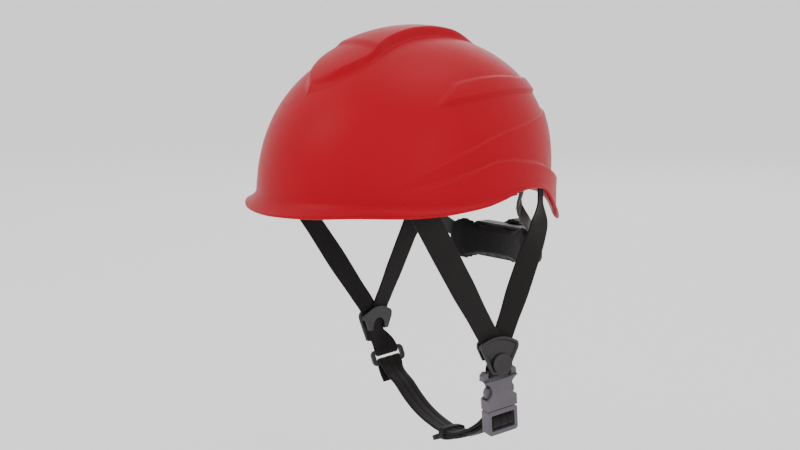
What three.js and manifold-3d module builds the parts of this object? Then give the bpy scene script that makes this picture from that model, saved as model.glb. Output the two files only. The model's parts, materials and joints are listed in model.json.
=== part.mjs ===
// Climbing-style safety helmet: a capped shell over a webbing cradle, with a ratchet nape
// cradle and a four-point chin harness closed by a side-release buckle.
// Millimetres. +Z is up, -Y is the front, +X is the wearer's left.
// Origin: middle of the head opening, level with the lower edge of the headband.

import * as THREE from "three";
import { mergeVertices } from "three/addons/utils/BufferGeometryUtils.js";
import Module from "manifold-3d";

const wasm = await Module();
wasm.setup();

// ---------------------------------------------------------------- driving dimensions

const GAP = 0.3; // clearance between pieces that touch
const SEAT_ROOM = 1; // clearance behind flat-backed pieces on the shell's curved wall

const SHELL_HALF_WIDTH = 103;
const SHELL_FRONT = 123.3;
const SHELL_REAR = 114.8;
const SHELL_HEIGHT = 120;
const SHELL_POWER = 2.5; // superellipse exponent of the upright section
const APEX_SHIFT = 8; // the crown's highest point lies this far behind the middle
const SHELL_WALL = 2.5;
const SHELL_STATIONS = 72; // sections round the shell
const SHELL_ROWS = 18; // rows from the brim crease to the crown

const HEADBAND_INSET = 17; // shell surface to the headband's outer face
const HEADBAND_THICKNESS = 2;
const HEADBAND_HEIGHT = SHELL_HEIGHT * 0.2333;
const HEADBAND_END = 28; // degrees behind the side where the headband stops
const BROW_PAD_THICKNESS = 5;

const KEY_THICKNESS = 3.5;
const KEY_WIDTH = 22;
const KEY_LOW = SHELL_HEIGHT * 0.075;
const KEY_HIGH = SHELL_HEIGHT * 0.2833;
const KEY_ANGLES = [-58, 2, 62];

const CROWN_HEIGHT = SHELL_HEIGHT - 28; // top strap of the cradle where the straps cross
const CROWN_FOOT = SHELL_HEIGHT * 0.1417; // lower ends of the cradle's straps
const CROWN_PAD_RADIUS = 28;
const CROWN_PAD_THICKNESS = 6;

const WEBBING_WIDTH = 20;
const WEBBING_THICKNESS = 1.3;
const CHIN_THICKNESS = 2.2; // the chin strap is two plies sewn together

const FRONT_ANCHOR_ANGLE = -35;
const REAR_ANCHOR_ANGLE = 41.5;
const ANCHOR_THICKNESS = 1.6;
const ANCHOR_LOW = SHELL_HEIGHT * 0.1167;
const ANCHOR_HEIGHT = SHELL_HEIGHT * 0.2;

const STRAP_DROP = 116; // origin down to where the two legs of one side meet
const STRAP_INSET = 26; // shell side in to the plane of the legs
const STRAP_MEET_Y = 26.2;

const DIVIDER_WIDTH = WEBBING_WIDTH + 13;
const DIVIDER_HEIGHT = WEBBING_WIDTH + 9;
const DIVIDER_PLATE = 2;
const DIVIDER_TURN = 12; // degrees, rear edge away from the face

const BUCKLE_THICKNESS = 9.5;
const SOCKET_LENGTH = 31.5;
const PLUG_LENGTH = 20.5;
const BAR_SIZE = 3; // strap bars of the buckle and of the square ring
const BUCKLE_LEAN = 9.8; // degrees, lower end to the rear
const BUCKLE_TUCK = 7; // degrees, lower end towards the chin
const BUCKLE_TURN = 7; // degrees, rear edge away from the face

const RING_HEIGHT = 13;
const RING_THICKNESS = 3.2;
const RING_TURN = 14; // degrees, the twist of the webbing between divider and ring

const NAPE_DROP = 50; // origin down to the knob's axis
const KNOB_RADIUS = 18;
const KNOB_DEPTH = 11;
const KNOB_RIDGES = 20;
const PINION_PITCH_RADIUS = 5;
const PINION_TEETH = 10;
const HOUSING_HALF_LENGTH = 36;
const HOUSING_HEIGHT = 28;
const HOUSING_DEPTH = 9;
const ARM_WIDTH = 11;
const ARM_THICKNESS = 2;
const NAPE_PAD_THICKNESS = 5;
const NAPE_PAD_BEND = 14; // how far forward the pad's ends reach

// ---------------------------------------------------------------- finishes

const FINISH = {
  shell: { color: 0xd0170f, roughness: 0.38, metalness: 0 },
  webbing: { color: 0x1c1615, roughness: 0.9, metalness: 0 },
  darkPlastic: { color: 0x2a2424, roughness: 0.5, metalness: 0 },
  greyPlastic: { color: 0x615b62, roughness: 0.5, metalness: 0 },
  pad: { color: 0x17161a, roughness: 0.95, metalness: 0 },
  steel: { color: 0xb4b6ba, roughness: 0.3, metalness: 1 },
};

// ---------------------------------------------------------------- small helpers

const rad = THREE.MathUtils.degToRad;
const clamp = THREE.MathUtils.clamp;
const vec = (x, y, z) => new THREE.Vector3(x, y, z);

// Smooth curve through [x, value] points.
function along(points, x) {
  const last = points.length - 1;
  if (x <= points[0][0]) return points[0][1];
  if (x >= points[last][0]) return points[last][1];
  const i = points.findIndex((point) => point[0] > x) - 1;
  const slope = (a, b) => (points[b][1] - points[a][1]) / (points[b][0] - points[a][0]);
  const span = points[i + 1][0] - points[i][0];
  const t = (x - points[i][0]) / span;
  const start = slope(Math.max(i - 1, 0), i + 1) * span;
  const end = slope(i, Math.min(i + 2, last)) * span;
  const rise = points[i + 1][1] - points[i][1];
  return points[i][1] + t * start + t * t * (3 * rise - 2 * start - end)
    + t * t * t * (start + end - 2 * rise);
}

function faces(positions, triangles) {
  const geometry = new THREE.BufferGeometry();
  geometry.setAttribute("position", new THREE.Float32BufferAttribute(positions, 3));
  geometry.setIndex(triangles);
  return geometry;
}

// Removes doubled vertices and the flat triangles that they leave.
function welded(geometry) {
  const bare = geometry.clone();
  bare.deleteAttribute("normal");
  bare.deleteAttribute("uv");
  const merged = mergeVertices(bare, 1e-4);
  const index = Array.from(merged.index.array);
  const kept = [];
  for (let i = 0; i < index.length; i += 3) {
    const [a, b, c] = index.slice(i, i + 3);
    if (a !== b && b !== c && c !== a) kept.push(a, b, c);
  }
  merged.setIndex(kept);
  return merged;
}

function signedVolume(geometry) {
  const position = geometry.attributes.position;
  const index = geometry.index.array;
  const corner = (i) => new THREE.Vector3().fromBufferAttribute(position, index[i]);
  let volume = 0;
  for (let i = 0; i < index.length; i += 3) {
    volume += corner(i).dot(corner(i + 1).cross(corner(i + 2))) / 6;
  }
  return volume;
}

function facingOut(geometry) {
  const solid = welded(geometry);
  if (signedVolume(solid) < 0) {
    const index = Array.from(solid.index.array);
    for (let i = 0; i < index.length; i += 3) {
      [index[i], index[i + 1]] = [index[i + 1], index[i]];
    }
    solid.setIndex(index);
  }
  return solid;
}

// Joins like sections, each a closed loop of points. An open run is capped at both ends.
function loft(sections, outline, closed = false) {
  const count = sections[0].length;
  const positions = sections.flat().flatMap((point) => [point.x, point.y, point.z]);
  const triangles = [];
  const runs = closed ? sections.length : sections.length - 1;
  for (let i = 0; i < runs; i += 1) {
    const next = (i + 1) % sections.length;
    for (let j = 0; j < count; j += 1) {
      const k = (j + 1) % count;
      const [a, b, c, d] = [i * count + j, i * count + k, next * count + k, next * count + j];
      triangles.push(a, b, c, a, c, d);
    }
  }
  if (!closed) {
    const flat = outline.map(([x, y]) => new THREE.Vector2(x, y));
    const far = (sections.length - 1) * count;
    for (const corners of THREE.ShapeUtils.triangulateShape(flat, [])) {
      // Corners in rising order run the same way round as the outline.
      const [p, q, r] = corners.toSorted((m, n) => m - n);
      triangles.push(r, q, p, far + p, far + q, far + r);
    }
  }
  return facingOut(faces(positions, triangles));
}

function solidOf(geometry) {
  const merged = welded(geometry);
  return new wasm.Manifold(new wasm.Mesh({
    numProp: 3,
    vertProperties: new Float32Array(merged.attributes.position.array),
    triVerts: new Uint32Array(merged.index.array),
  }));
}

function geometryOf(solid) {
  const mesh = solid.getMesh();
  return facingOut(faces(Array.from(mesh.vertProperties), Array.from(mesh.triVerts)));
}

function joined(first, ...others) {
  return geometryOf(others.reduce((whole, part) => whole.add(solidOf(part)), solidOf(first)));
}

function cut(body, ...tools) {
  return geometryOf(tools.reduce((rest, tool) => rest.subtract(solidOf(tool)), solidOf(body)));
}

// A block between two corners.
function block(low, high) {
  const size = high.map((value, i) => value - low[i]);
  const middle = high.map((value, i) => (value + low[i]) / 2);
  return new THREE.BoxGeometry(...size).translate(...middle);
}

function outlineShape(points) {
  return new THREE.Shape(points.map(([x, y]) => new THREE.Vector2(x, y)));
}

// A flat piece drawn in Y and Z, reaching from x = low to x = high.
function plateX(shape, low, high) {
  const geometry = new THREE.ExtrudeGeometry(shape, {
    depth: high - low, bevelEnabled: false, curveSegments: 6,
  });
  const turn = new THREE.Matrix4().makeBasis(vec(0, 1, 0), vec(0, 0, 1), vec(1, 0, 0));
  return geometry.applyMatrix4(turn).translate(low, 0, 0);
}

// A flat piece drawn in X and Z, reaching from y = low to y = high.
function plateY(shape, low, high, curveSegments = 6) {
  const geometry = new THREE.ExtrudeGeometry(shape, {
    depth: high - low, bevelEnabled: false, curveSegments,
  });
  return geometry.rotateX(Math.PI / 2).translate(0, high, 0);
}

function roundedBox(halfWidth, low, high, radius) {
  const shape = new THREE.Shape();
  shape.moveTo(-halfWidth + radius, low);
  shape.lineTo(halfWidth - radius, low);
  shape.absarc(halfWidth - radius, low + radius, radius, -Math.PI / 2, 0);
  shape.lineTo(halfWidth, high - radius);
  shape.absarc(halfWidth - radius, high - radius, radius, 0, Math.PI / 2);
  shape.lineTo(-halfWidth + radius, high);
  shape.absarc(-halfWidth + radius, high - radius, radius, Math.PI / 2, Math.PI);
  shape.lineTo(-halfWidth, low + radius);
  shape.absarc(-halfWidth + radius, low + radius, radius, Math.PI, 1.5 * Math.PI);
  return shape;
}

// A strap: each station has its middle, the direction across it and its width.
function ribbon(stations, thickness) {
  const sections = stations.map(({ at, across, width }, i) => {
    const before = stations[Math.max(i - 1, 0)].at;
    const after = stations[Math.min(i + 1, stations.length - 1)].at;
    const direction = after.clone().sub(before).normalize();
    const side = across.clone().addScaledVector(direction, -across.dot(direction)).normalize();
    const face = direction.clone().cross(side);
    return [[-1, -1], [1, -1], [1, 1], [-1, 1]].map(([s, f]) => at.clone()
      .addScaledVector(side, (s * width) / 2)
      .addScaledVector(face, (f * thickness) / 2));
  });
  return loft(sections, [[-1, -1], [1, -1], [1, 1], [-1, 1]]);
}

const helmet = new THREE.Group();

function add(name, geometry, finish, group = helmet) {
  const mesh = new THREE.Mesh(geometry, new THREE.MeshStandardMaterial(finish));
  mesh.name = name;
  group.add(mesh);
  return mesh;
}

const mirrored = (geometry) => facingOut(geometry.clone().scale(-1, 1, 1));

// ---------------------------------------------------------------- shell

// Heights and offsets by angle from the side: -90 is the front, 0 the side, 90 the rear.
const RIM_EDGE = [[-90, -9.5], [-70, -8.5], [-52, -6.5], [-26, -6.4], [-6, -1.9], [3, 2.4],
  [11, 6.7], [20, 7.7], [30, 4.4], [41, -10.8], [53, -23], [59, -23.5], [70, -15.5], [81, -9.5],
  [90, -8.5]];
const BRIM_CREASE = [[-90, 2.6], [-58, 3.4], [-36, 1.6], [-22, 0.9], [-10, 2.6], [3, 7.5],
  [20, 12.5], [30, 9], [41, -5], [53, -16], [59, -16.5], [70, -9.5], [81, -4], [90, -3]];
const BRIM_FLARE = [[-90, 7.5], [-40, 7.5], [-26, 5], [-6, 2.5], [20, 0.8], [56, 2], [90, 2.4]];
const SKIRT_TOP = [[-40, 9], [-29, 14.3], [-8, 26], [2, 31], [20, 27.5], [31, 22.6], [50, 10.6],
  [64, 5], [90, 3]];
const SKIRT_RAISE = [[-38, 0], [-18, 2], [30, 3.4], [52, 4.8], [90, 5]];
const SWOOSH_TOP = [[-40, 14], [-29, 25.7], [-14, 38], [6, 51], [44, 59.8], [90, 62]];
const SWOOSH_RAISE = [[-40, 0], [-24, 1.4], [90, 2]];
const BAND_TOP = [[-25, 70], [-18, 80], [-12, 86.9], [14, 90], [42, 86.7], [90, 83]];
const BAND_LOW = [[-25, 69], [-18, 73], [-8, 75.8], [19, 78.6], [44, 76], [90, 72]];
const BAND_RAISE = [[-25, 0], [-15, 2], [90, 2]];
// Across and along the crown ridge, by y: base width, then the height of its two tiers.
const RIDGE_HALF = [[-95, 0], [-90, 8.5], [-84, 14.5], [-76, 20], [-66, 25], [-56, 27], [-47, 26],
  [-30, 21.2], [-8, 18], [13, 16.8], [58, 16]];
const RIDGE_TOP_HALF = [[-89, 0], [-86, 5], [-80, 12.5], [-73, 17.5], [-65, 21.8], [-56, 24.2],
  [-47, 23], [-30, 18.2], [-8, 14.6], [13, 13.6], [58, 12]];
const RIDGE_RISE = [[-95, 0], [-89, 3.4], [-80, 4.6], [-50, 4.8], [-43, 6.8], [30, 6.4], [58, 0]];

const step = (distance, width) => THREE.MathUtils.smoothstep(distance, -width / 2, width / 2);

// Point on the shell's plain form, shrunk all round by inset.
function domePoint(degrees, z, inset = 0) {
  const angle = rad(degrees);
  const t = clamp(z / (SHELL_HEIGHT - inset), 0, 1);
  const reach = Math.sqrt(1 - t ** SHELL_POWER);
  const length = Math.sin(angle) < 0 ? SHELL_FRONT : SHELL_REAR;
  return vec(
    reach * (SHELL_HALF_WIDTH - inset) * Math.cos(angle),
    reach * (length - inset) * Math.sin(angle) + APEX_SHIFT * t,
    z,
  );
}

function domeNormal(degrees, point) {
  const length = Math.sin(rad(degrees)) < 0 ? SHELL_FRONT : SHELL_REAR;
  const t = clamp(point.z / SHELL_HEIGHT, 0, 1);
  const y = (2 * (point.y - APEX_SHIFT * t)) / length ** 2;
  const rise = t > 0 ? (SHELL_POWER * t ** (SHELL_POWER - 1) - y * APEX_SHIFT) / SHELL_HEIGHT : 0;
  return vec((2 * point.x) / SHELL_HALF_WIDTH ** 2, y, rise).normalize();
}

// How far the moulded skirt, swooshes, upper band and crown ridge stand proud.
function relief(side, point) {
  const height = (point.z * 120) / SHELL_HEIGHT;
  const skirtTop = along(SKIRT_TOP, side);
  const swooshTop = along(SWOOSH_TOP, side);
  const skirt = along(SKIRT_RAISE, side) * step(skirtTop - height, 3);
  const fade = clamp((height - skirtTop) / Math.max(swooshTop - skirtTop, 1), 0, 1);
  const swoosh = along(SWOOSH_RAISE, side) * step(swooshTop - height, 3) * fade;
  const inBand = step(along(BAND_TOP, side) - height, 3) * step(height - along(BAND_LOW, side), 3);
  const band = along(BAND_RAISE, side) * inBand;
  const half = along(RIDGE_HALF, point.y);
  const topHalf = Math.min(along(RIDGE_TOP_HALF, point.y), half - 1);
  const flank = clamp((half - Math.abs(point.x)) / (half - topHalf), 0, 1);
  const onCrown = height > 60 ? 1 : 0;
  return skirt + swoosh + band + onCrown * flank * along(RIDGE_RISE, point.y);
}

// One upright section of the shell: up the outside to the crown, then down the inside.
function shellSection(degrees) {
  const angle = rad(degrees);
  const side = THREE.MathUtils.radToDeg(Math.atan2(Math.sin(angle), Math.abs(Math.cos(angle))));
  const rim = along(RIM_EDGE, side);
  const crease = along(BRIM_CREASE, side);
  const flare = along(BRIM_FLARE, side);
  const atHeight = (z, inset, proud) => {
    const point = domePoint(degrees, z, inset);
    const relieved = proud + (inset ? 0 : relief(side, domePoint(degrees, z)));
    return point.addScaledVector(domeNormal(degrees, point), relieved);
  };
  const skirt = along(SKIRT_RAISE, side);
  const outer = [atHeight(rim, 0, flare), atHeight(rim + 2.4, 0, flare)];
  const inner = [atHeight(rim, SHELL_WALL, flare + skirt)];
  for (let row = 0; row <= SHELL_ROWS; row += 1) {
    const climb = Math.sin((row / SHELL_ROWS) * (Math.PI / 2)) ** (2 / SHELL_POWER);
    outer.push(atHeight(crease + (SHELL_HEIGHT - crease) * climb, 0, 0));
    if (row % 2 === 0) {
      const top = SHELL_HEIGHT - SHELL_WALL;
      inner.push(atHeight(crease + (top - crease) * climb, SHELL_WALL, 0));
    }
  }
  return [...outer, ...inner.reverse()];
}

function shell() {
  const sections = [];
  for (let i = 0; i < SHELL_STATIONS; i += 1) {
    sections.push(shellSection((i / SHELL_STATIONS) * 360));
  }
  return loft(sections, null, true);
}

// ---------------------------------------------------------------- cradle inside the shell

// A profile of [inset, z] points carried round the shell from one angle to another.
function wallSweep(profile, from, to, steps) {
  const sections = [];
  for (let i = 0; i <= steps; i += 1) {
    const degrees = from + ((to - from) * i) / steps;
    sections.push(profile.map(([inset, z]) => domePoint(degrees, z, inset)));
  }
  return loft(sections, profile);
}

const KEY_INSET = SHELL_WALL + SEAT_ROOM;
// Wider straps sag further at their edges, so they need more room where they cross.
const layerPitch = WEBBING_THICKNESS + 0.001 * WEBBING_WIDTH ** 2;
const keyHalfAngle = () => THREE.MathUtils.radToDeg(KEY_WIDTH / 2 / SHELL_HALF_WIDTH);

// A key plate against the shell; one that carries the headband has an arm reaching in to it.
function suspensionKey(degrees, carriesBand) {
  const inner = KEY_INSET + KEY_THICKNESS;
  const reach = HEADBAND_INSET - GAP;
  const plate = [[KEY_INSET, KEY_LOW], [inner, KEY_LOW], [inner, KEY_HIGH], [KEY_INSET, KEY_HIGH]];
  const arm = [[KEY_INSET, KEY_LOW], [reach, KEY_LOW], [reach, KEY_LOW + 5],
    [inner, KEY_LOW + 5], [inner, KEY_HIGH], [KEY_INSET, KEY_HIGH]];
  const half = keyHalfAngle();
  return wallSweep(carriesBand ? arm : plate, degrees - half, degrees + half, 4);
}

// A cradle strap from its key, up over the crown and down to the key opposite; layers cross.
function crownStrap(degrees, layer) {
  const inset = KEY_INSET + KEY_THICKNESS + WEBBING_THICKNESS + 2 * SEAT_ROOM;
  const top = CROWN_HEIGHT - layer * layerPitch;
  const footLength = Math.sin(rad(degrees)) < 0 ? SHELL_FRONT : SHELL_REAR;
  const across = vec(
    -SHELL_HALF_WIDTH * Math.sin(rad(degrees)),
    footLength * Math.cos(rad(degrees)),
    0,
  ).normalize();
  const stations = [];
  const steps = 22;
  for (let i = 0; i <= steps; i += 1) {
    const turn = (i / steps) * Math.PI;
    const heading = turn < Math.PI / 2 ? degrees : degrees + 180;
    const length = Math.sin(rad(heading)) < 0 ? SHELL_FRONT : SHELL_REAR;
    const climb = Math.sin(turn) ** (2 / SHELL_POWER);
    const reach = Math.abs(Math.cos(turn));
    const at = vec(
      reach * (SHELL_HALF_WIDTH - inset) * Math.cos(rad(heading)),
      reach * (length - inset) * Math.sin(rad(heading)),
      CROWN_FOOT + (top - CROWN_FOOT) * climb,
    );
    at.y += (APEX_SHIFT * at.z) / SHELL_HEIGHT;
    stations.push({ at, across, width: WEBBING_WIDTH });
  }
  return ribbon(stations, WEBBING_THICKNESS);
}

// The crown pad hangs just under the lowest strap where that strap passes the pad's edge.
function crownPadTop() {
  const lowest = CROWN_HEIGHT - 2 * layerPitch;
  const share = CROWN_PAD_RADIUS / (SHELL_HALF_WIDTH - KEY_INSET - KEY_THICKNESS);
  const climb = Math.sqrt(1 - share ** 2) ** (2 / SHELL_POWER);
  return CROWN_FOOT + (lowest - CROWN_FOOT) * climb - WEBBING_THICKNESS - GAP;
}

function crownPad() {
  const top = crownPadTop();
  const low = top - CROWN_PAD_THICKNESS;
  const edge = CROWN_PAD_RADIUS;
  const profile = [[0, low], [edge - 3, low], [edge, low + 3], [edge, top - 2], [edge - 2, top],
    [0, top]].map(([x, y]) => new THREE.Vector2(x, y));
  return facingOut(new THREE.LatheGeometry(profile, 32).rotateX(Math.PI / 2)
    .translate(0, APEX_SHIFT, 0));
}

function headband() {
  const outer = HEADBAND_INSET;
  const inner = HEADBAND_INSET + HEADBAND_THICKNESS;
  const middle = HEADBAND_HEIGHT / 2;
  const profile = [[outer, 0], [inner, 0], [inner, middle], [inner, HEADBAND_HEIGHT],
    [outer, HEADBAND_HEIGHT], [outer, middle]];
  return wallSweep(profile, -180 - HEADBAND_END, HEADBAND_END, 44);
}

function browPad() {
  const outer = HEADBAND_INSET + HEADBAND_THICKNESS + GAP;
  const inner = outer + BROW_PAD_THICKNESS;
  const high = HEADBAND_HEIGHT - 2;
  const profile = [[outer, 2], [inner - 2, 2], [inner, 5], [inner, high - 3], [inner - 2, high],
    [outer, high], [outer, HEADBAND_HEIGHT / 2]];
  return wallSweep(profile, -150, -30, 20);
}

function addCradle() {
  add("shell", shell(), FINISH.shell);
  const rows = ["front", "side", "rear"];
  rows.forEach((row, i) => {
    const carriesBand = row !== "rear";
    const left = suspensionKey(KEY_ANGLES[i], carriesBand);
    add(`key_${row}_left`, left, FINISH.darkPlastic);
    add(`key_${row}_right`, mirrored(left), FINISH.darkPlastic);
  });
  add("crown_strap_across", crownStrap(KEY_ANGLES[1], 0), FINISH.webbing);
  add("crown_strap_left_front", crownStrap(KEY_ANGLES[0], 1), FINISH.webbing);
  add("crown_strap_right_front", crownStrap(-180 - KEY_ANGLES[0], 2), FINISH.webbing);
  add("crown_pad", crownPad(), FINISH.pad);
  add("headband", headband(), FINISH.darkPlastic);
  add("brow_pad", browPad(), FINISH.pad);
}

// ---------------------------------------------------------------- chin harness

const legX = SHELL_HALF_WIDTH - STRAP_INSET;
const bowRoom = WEBBING_WIDTH ** 2 / (4 * SHELL_HALF_WIDTH); // a flat strap by the curved wall
const layerOffset = WEBBING_THICKNESS / 2 + 0.25;
const strapInset = SHELL_WALL + SEAT_ROOM + ANCHOR_THICKNESS + GAP + WEBBING_THICKNESS / 2;
const squeezed = WEBBING_WIDTH - 3; // the webbing bunches a little inside the divider

// A plate riveted inside the shell, holding the top of one harness leg.
function anchorPlate(degrees) {
  const outer = SHELL_WALL + SEAT_ROOM;
  const inner = outer + ANCHOR_THICKNESS;
  const low = ANCHOR_LOW;
  const high = low + ANCHOR_HEIGHT;
  const half = THREE.MathUtils.radToDeg((WEBBING_WIDTH / 2 + 1) / SHELL_HALF_WIDTH);
  const profile = [[outer, low], [inner, low], [inner, high], [outer, high]];
  return wallSweep(profile, degrees - half, degrees + half, 4);
}

// The left divider's own frame: +X out of its cover, +Y along its width, +Z up.
const dividerFrame = new THREE.Group();
dividerFrame.position.set(legX, STRAP_MEET_Y, -STRAP_DROP - 4);
dividerFrame.rotation.z = -rad(DIVIDER_TURN);
helmet.add(dividerFrame);
dividerFrame.updateMatrixWorld(true);

const fromDivider = (x, y, z) => dividerFrame.localToWorld(vec(x, y, z));

// One side's webbing: down the front leg, round a bar, and up the rear leg.
// The bar is given by its middle, the way along it and the way down from it.
function sideStrap(bar, barAlong, barDown) {
  const forward = domeNormal(FRONT_ANCHOR_ANGLE, domePoint(FRONT_ANCHOR_ANGLE, 0));
  const rearward = domeNormal(REAR_ANCHOR_ANGLE, domePoint(REAR_ANCHOR_ANGLE, 0));
  const outward = fromDivider(1, 0, 0).sub(fromDivider(0, 0, 0));
  const dividerAlong = fromDivider(0, 1, 0).sub(fromDivider(0, 0, 0));
  const leg = (held, bow, spread, layer, towards, turn) => {
    const mouth = fromDivider(layer, spread, DIVIDER_HEIGHT / 2 + 1);
    const low = fromDivider(layer, spread * 0.4, 6);
    const across = (face, from, to) => face.clone().cross(to.clone().sub(from)).normalize();
    const topAcross = across(towards, held[0], held[1]);
    const lowAcross = across(outward, mouth, low);
    const rows = held.map((at) => ({ at, across: topAcross, width: WEBBING_WIDTH }));
    for (const share of [0, 0.3, 0.6, 0.88]) {
      const at = bow.clone().lerp(mouth, share);
      const turned = topAcross.clone().lerp(lowAcross, Math.min(turn + share, 1)).normalize();
      rows.push({ at, across: turned, width: share > 0.8 ? squeezed + 0.6 : WEBBING_WIDTH });
    }
    rows.push({ at: mouth, across: lowAcross, width: squeezed + 0.3 });
    rows.push({ at: low, across: lowAcross, width: squeezed });
    rows.push({ at: fromDivider(layer, 0, -6), across: dividerAlong, width: squeezed });
    return rows;
  };
  const wall = strapInset + 2 * bowRoom;
  const highEnd = ANCHOR_LOW + ANCHOR_HEIGHT * 0.62;
  const front = leg([
    domePoint(FRONT_ANCHOR_ANGLE - 2, highEnd, wall - 0.1),
    domePoint(FRONT_ANCHOR_ANGLE, ANCHOR_LOW + 5, wall - 0.3),
  ], domePoint(FRONT_ANCHOR_ANGLE + 7.2, -2, wall + 0.6), -9.4, layerOffset, forward, 0.3);
  const rear = leg([
    domePoint(REAR_ANCHOR_ANGLE + 1, highEnd, wall - 0.7),
    domePoint(REAR_ANCHOR_ANGLE, ANCHOR_LOW - 2, wall - 1.1),
    domePoint(REAR_ANCHOR_ANGLE - 1, -6, wall - 2.2),
  ], vec(legX - 2.4, STRAP_MEET_Y + 42.5, -27), 5.6, -layerOffset, rearward, 0.65);
  const loop = [];
  const radius = BAR_SIZE * 0.8 + GAP + WEBBING_THICKNESS / 2;
  const steps = 10;
  const wrap = rad(230); // past half a turn, because the two layers close up above the bar
  const face = barAlong.clone().cross(barDown).normalize();
  if (face.x < 0) face.negate();
  for (let i = 0; i <= steps; i += 1) {
    const turn = (i / steps) * wrap - (wrap - Math.PI) / 2;
    const at = bar.clone()
      .addScaledVector(face, radius * Math.cos(turn))
      .addScaledVector(barDown, radius * Math.sin(turn));
    loop.push({ at, across: barAlong, width: squeezed + 1.2 });
  }
  const rows = [...front, ...loop, ...rear.reverse()];
  return ribbon(fixAcross(rows), WEBBING_THICKNESS);
}

// Keeps each station's across direction from flipping against the one before.
function fixAcross(rows) {
  rows.forEach((row, i) => {
    if (i > 0 && row.across.dot(rows[i - 1].across) < 0) row.across = row.across.clone().negate();
  });
  return rows;
}

function dividerShape(width, height) {
  const half = width / 2;
  const shape = new THREE.Shape();
  shape.moveTo(-half * 0.42, -height * 0.5);
  shape.quadraticCurveTo(0, -height * 0.56, half * 0.42, -height * 0.5);
  shape.quadraticCurveTo(half * 0.62, -height * 0.25, half * 0.96, height * 0.16);
  shape.quadraticCurveTo(half * 1.04, height * 0.34, half * 0.8, height * 0.38);
  shape.quadraticCurveTo(0, height * 0.62, -half * 0.8, height * 0.38);
  shape.quadraticCurveTo(-half * 1.04, height * 0.34, -half * 0.96, height * 0.16);
  shape.quadraticCurveTo(-half * 0.62, -height * 0.25, -half * 0.42, -height * 0.5);
  return shape;
}

const dividerMouth = 2 * WEBBING_THICKNESS + 2 * GAP + 0.8; // room for the two layers of webbing

function dividerCover() {
  const inner = dividerMouth / 2;
  const plate = plateX(dividerShape(DIVIDER_WIDTH, DIVIDER_HEIGHT), inner, inner + DIVIDER_PLATE);
  const disc = new THREE.CylinderGeometry(8, 8.4, 2.4, 24).rotateZ(-Math.PI / 2)
    .translate(inner + DIVIDER_PLATE + 0.6, 2, -DIVIDER_HEIGHT * 0.24);
  const post = (sign) => block(
    [-inner + GAP, Math.min(sign * DIVIDER_WIDTH * 0.455, sign * DIVIDER_WIDTH * 0.49), 4],
    [inner + 0.5, Math.max(sign * DIVIDER_WIDTH * 0.455, sign * DIVIDER_WIDTH * 0.49), 8],
  );
  return joined(plate, disc, post(1), post(-1));
}

function dividerBack() {
  const inner = -dividerMouth / 2;
  const plate = plateX(dividerShape(DIVIDER_WIDTH, DIVIDER_HEIGHT), inner - DIVIDER_PLATE, inner);
  const arch = new THREE.Shape();
  arch.moveTo(-7, -DIVIDER_HEIGHT);
  arch.lineTo(7, -DIVIDER_HEIGHT);
  arch.lineTo(7, -2);
  arch.absarc(0, -2, 7, 0, Math.PI);
  arch.lineTo(-7, -DIVIDER_HEIGHT);
  const foot = block([-20, -DIVIDER_WIDTH, -DIVIDER_HEIGHT], [0, DIVIDER_WIDTH, -DIVIDER_HEIGHT * 0.16]);
  return cut(plate, plateX(arch, inner - DIVIDER_PLATE - 1, inner + 1), foot);
}

function addDividers() {
  const pieces = { divider_cover: dividerCover(), divider_back: dividerBack() };
  for (const [name, piece] of Object.entries(pieces)) {
    const left = piece.clone().applyMatrix4(dividerFrame.matrixWorld);
    add(`left_${name}`, left, FINISH.darkPlastic);
    add(`right_${name}`, mirrored(left), FINISH.darkPlastic);
  }
}

// ---------------------------------------------------------------- side-release buckle
// Own frame: +Z runs up the buckle from its mouth, +Y across it, +X out of its front face.

const socketHalf = WEBBING_WIDTH / 2 + 3.5;
const slotHalf = WEBBING_WIDTH / 2 + 0.5;
const cavityHalf = socketHalf - 2.7;
const cavityDepth = 5.2;
const earHalf = socketHalf + 1.6;

const buckleFrame = new THREE.Group();
buckleFrame.position.set(legX - 6, STRAP_MEET_Y + 7.3, -STRAP_DROP - 47);
buckleFrame.rotation.set(rad(BUCKLE_LEAN), rad(BUCKLE_TUCK), -rad(BUCKLE_TURN));
helmet.add(buckleFrame);
buckleFrame.updateMatrixWorld(true);

const fromBuckle = (x, y, z) => buckleFrame.localToWorld(vec(x, y, z));

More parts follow.
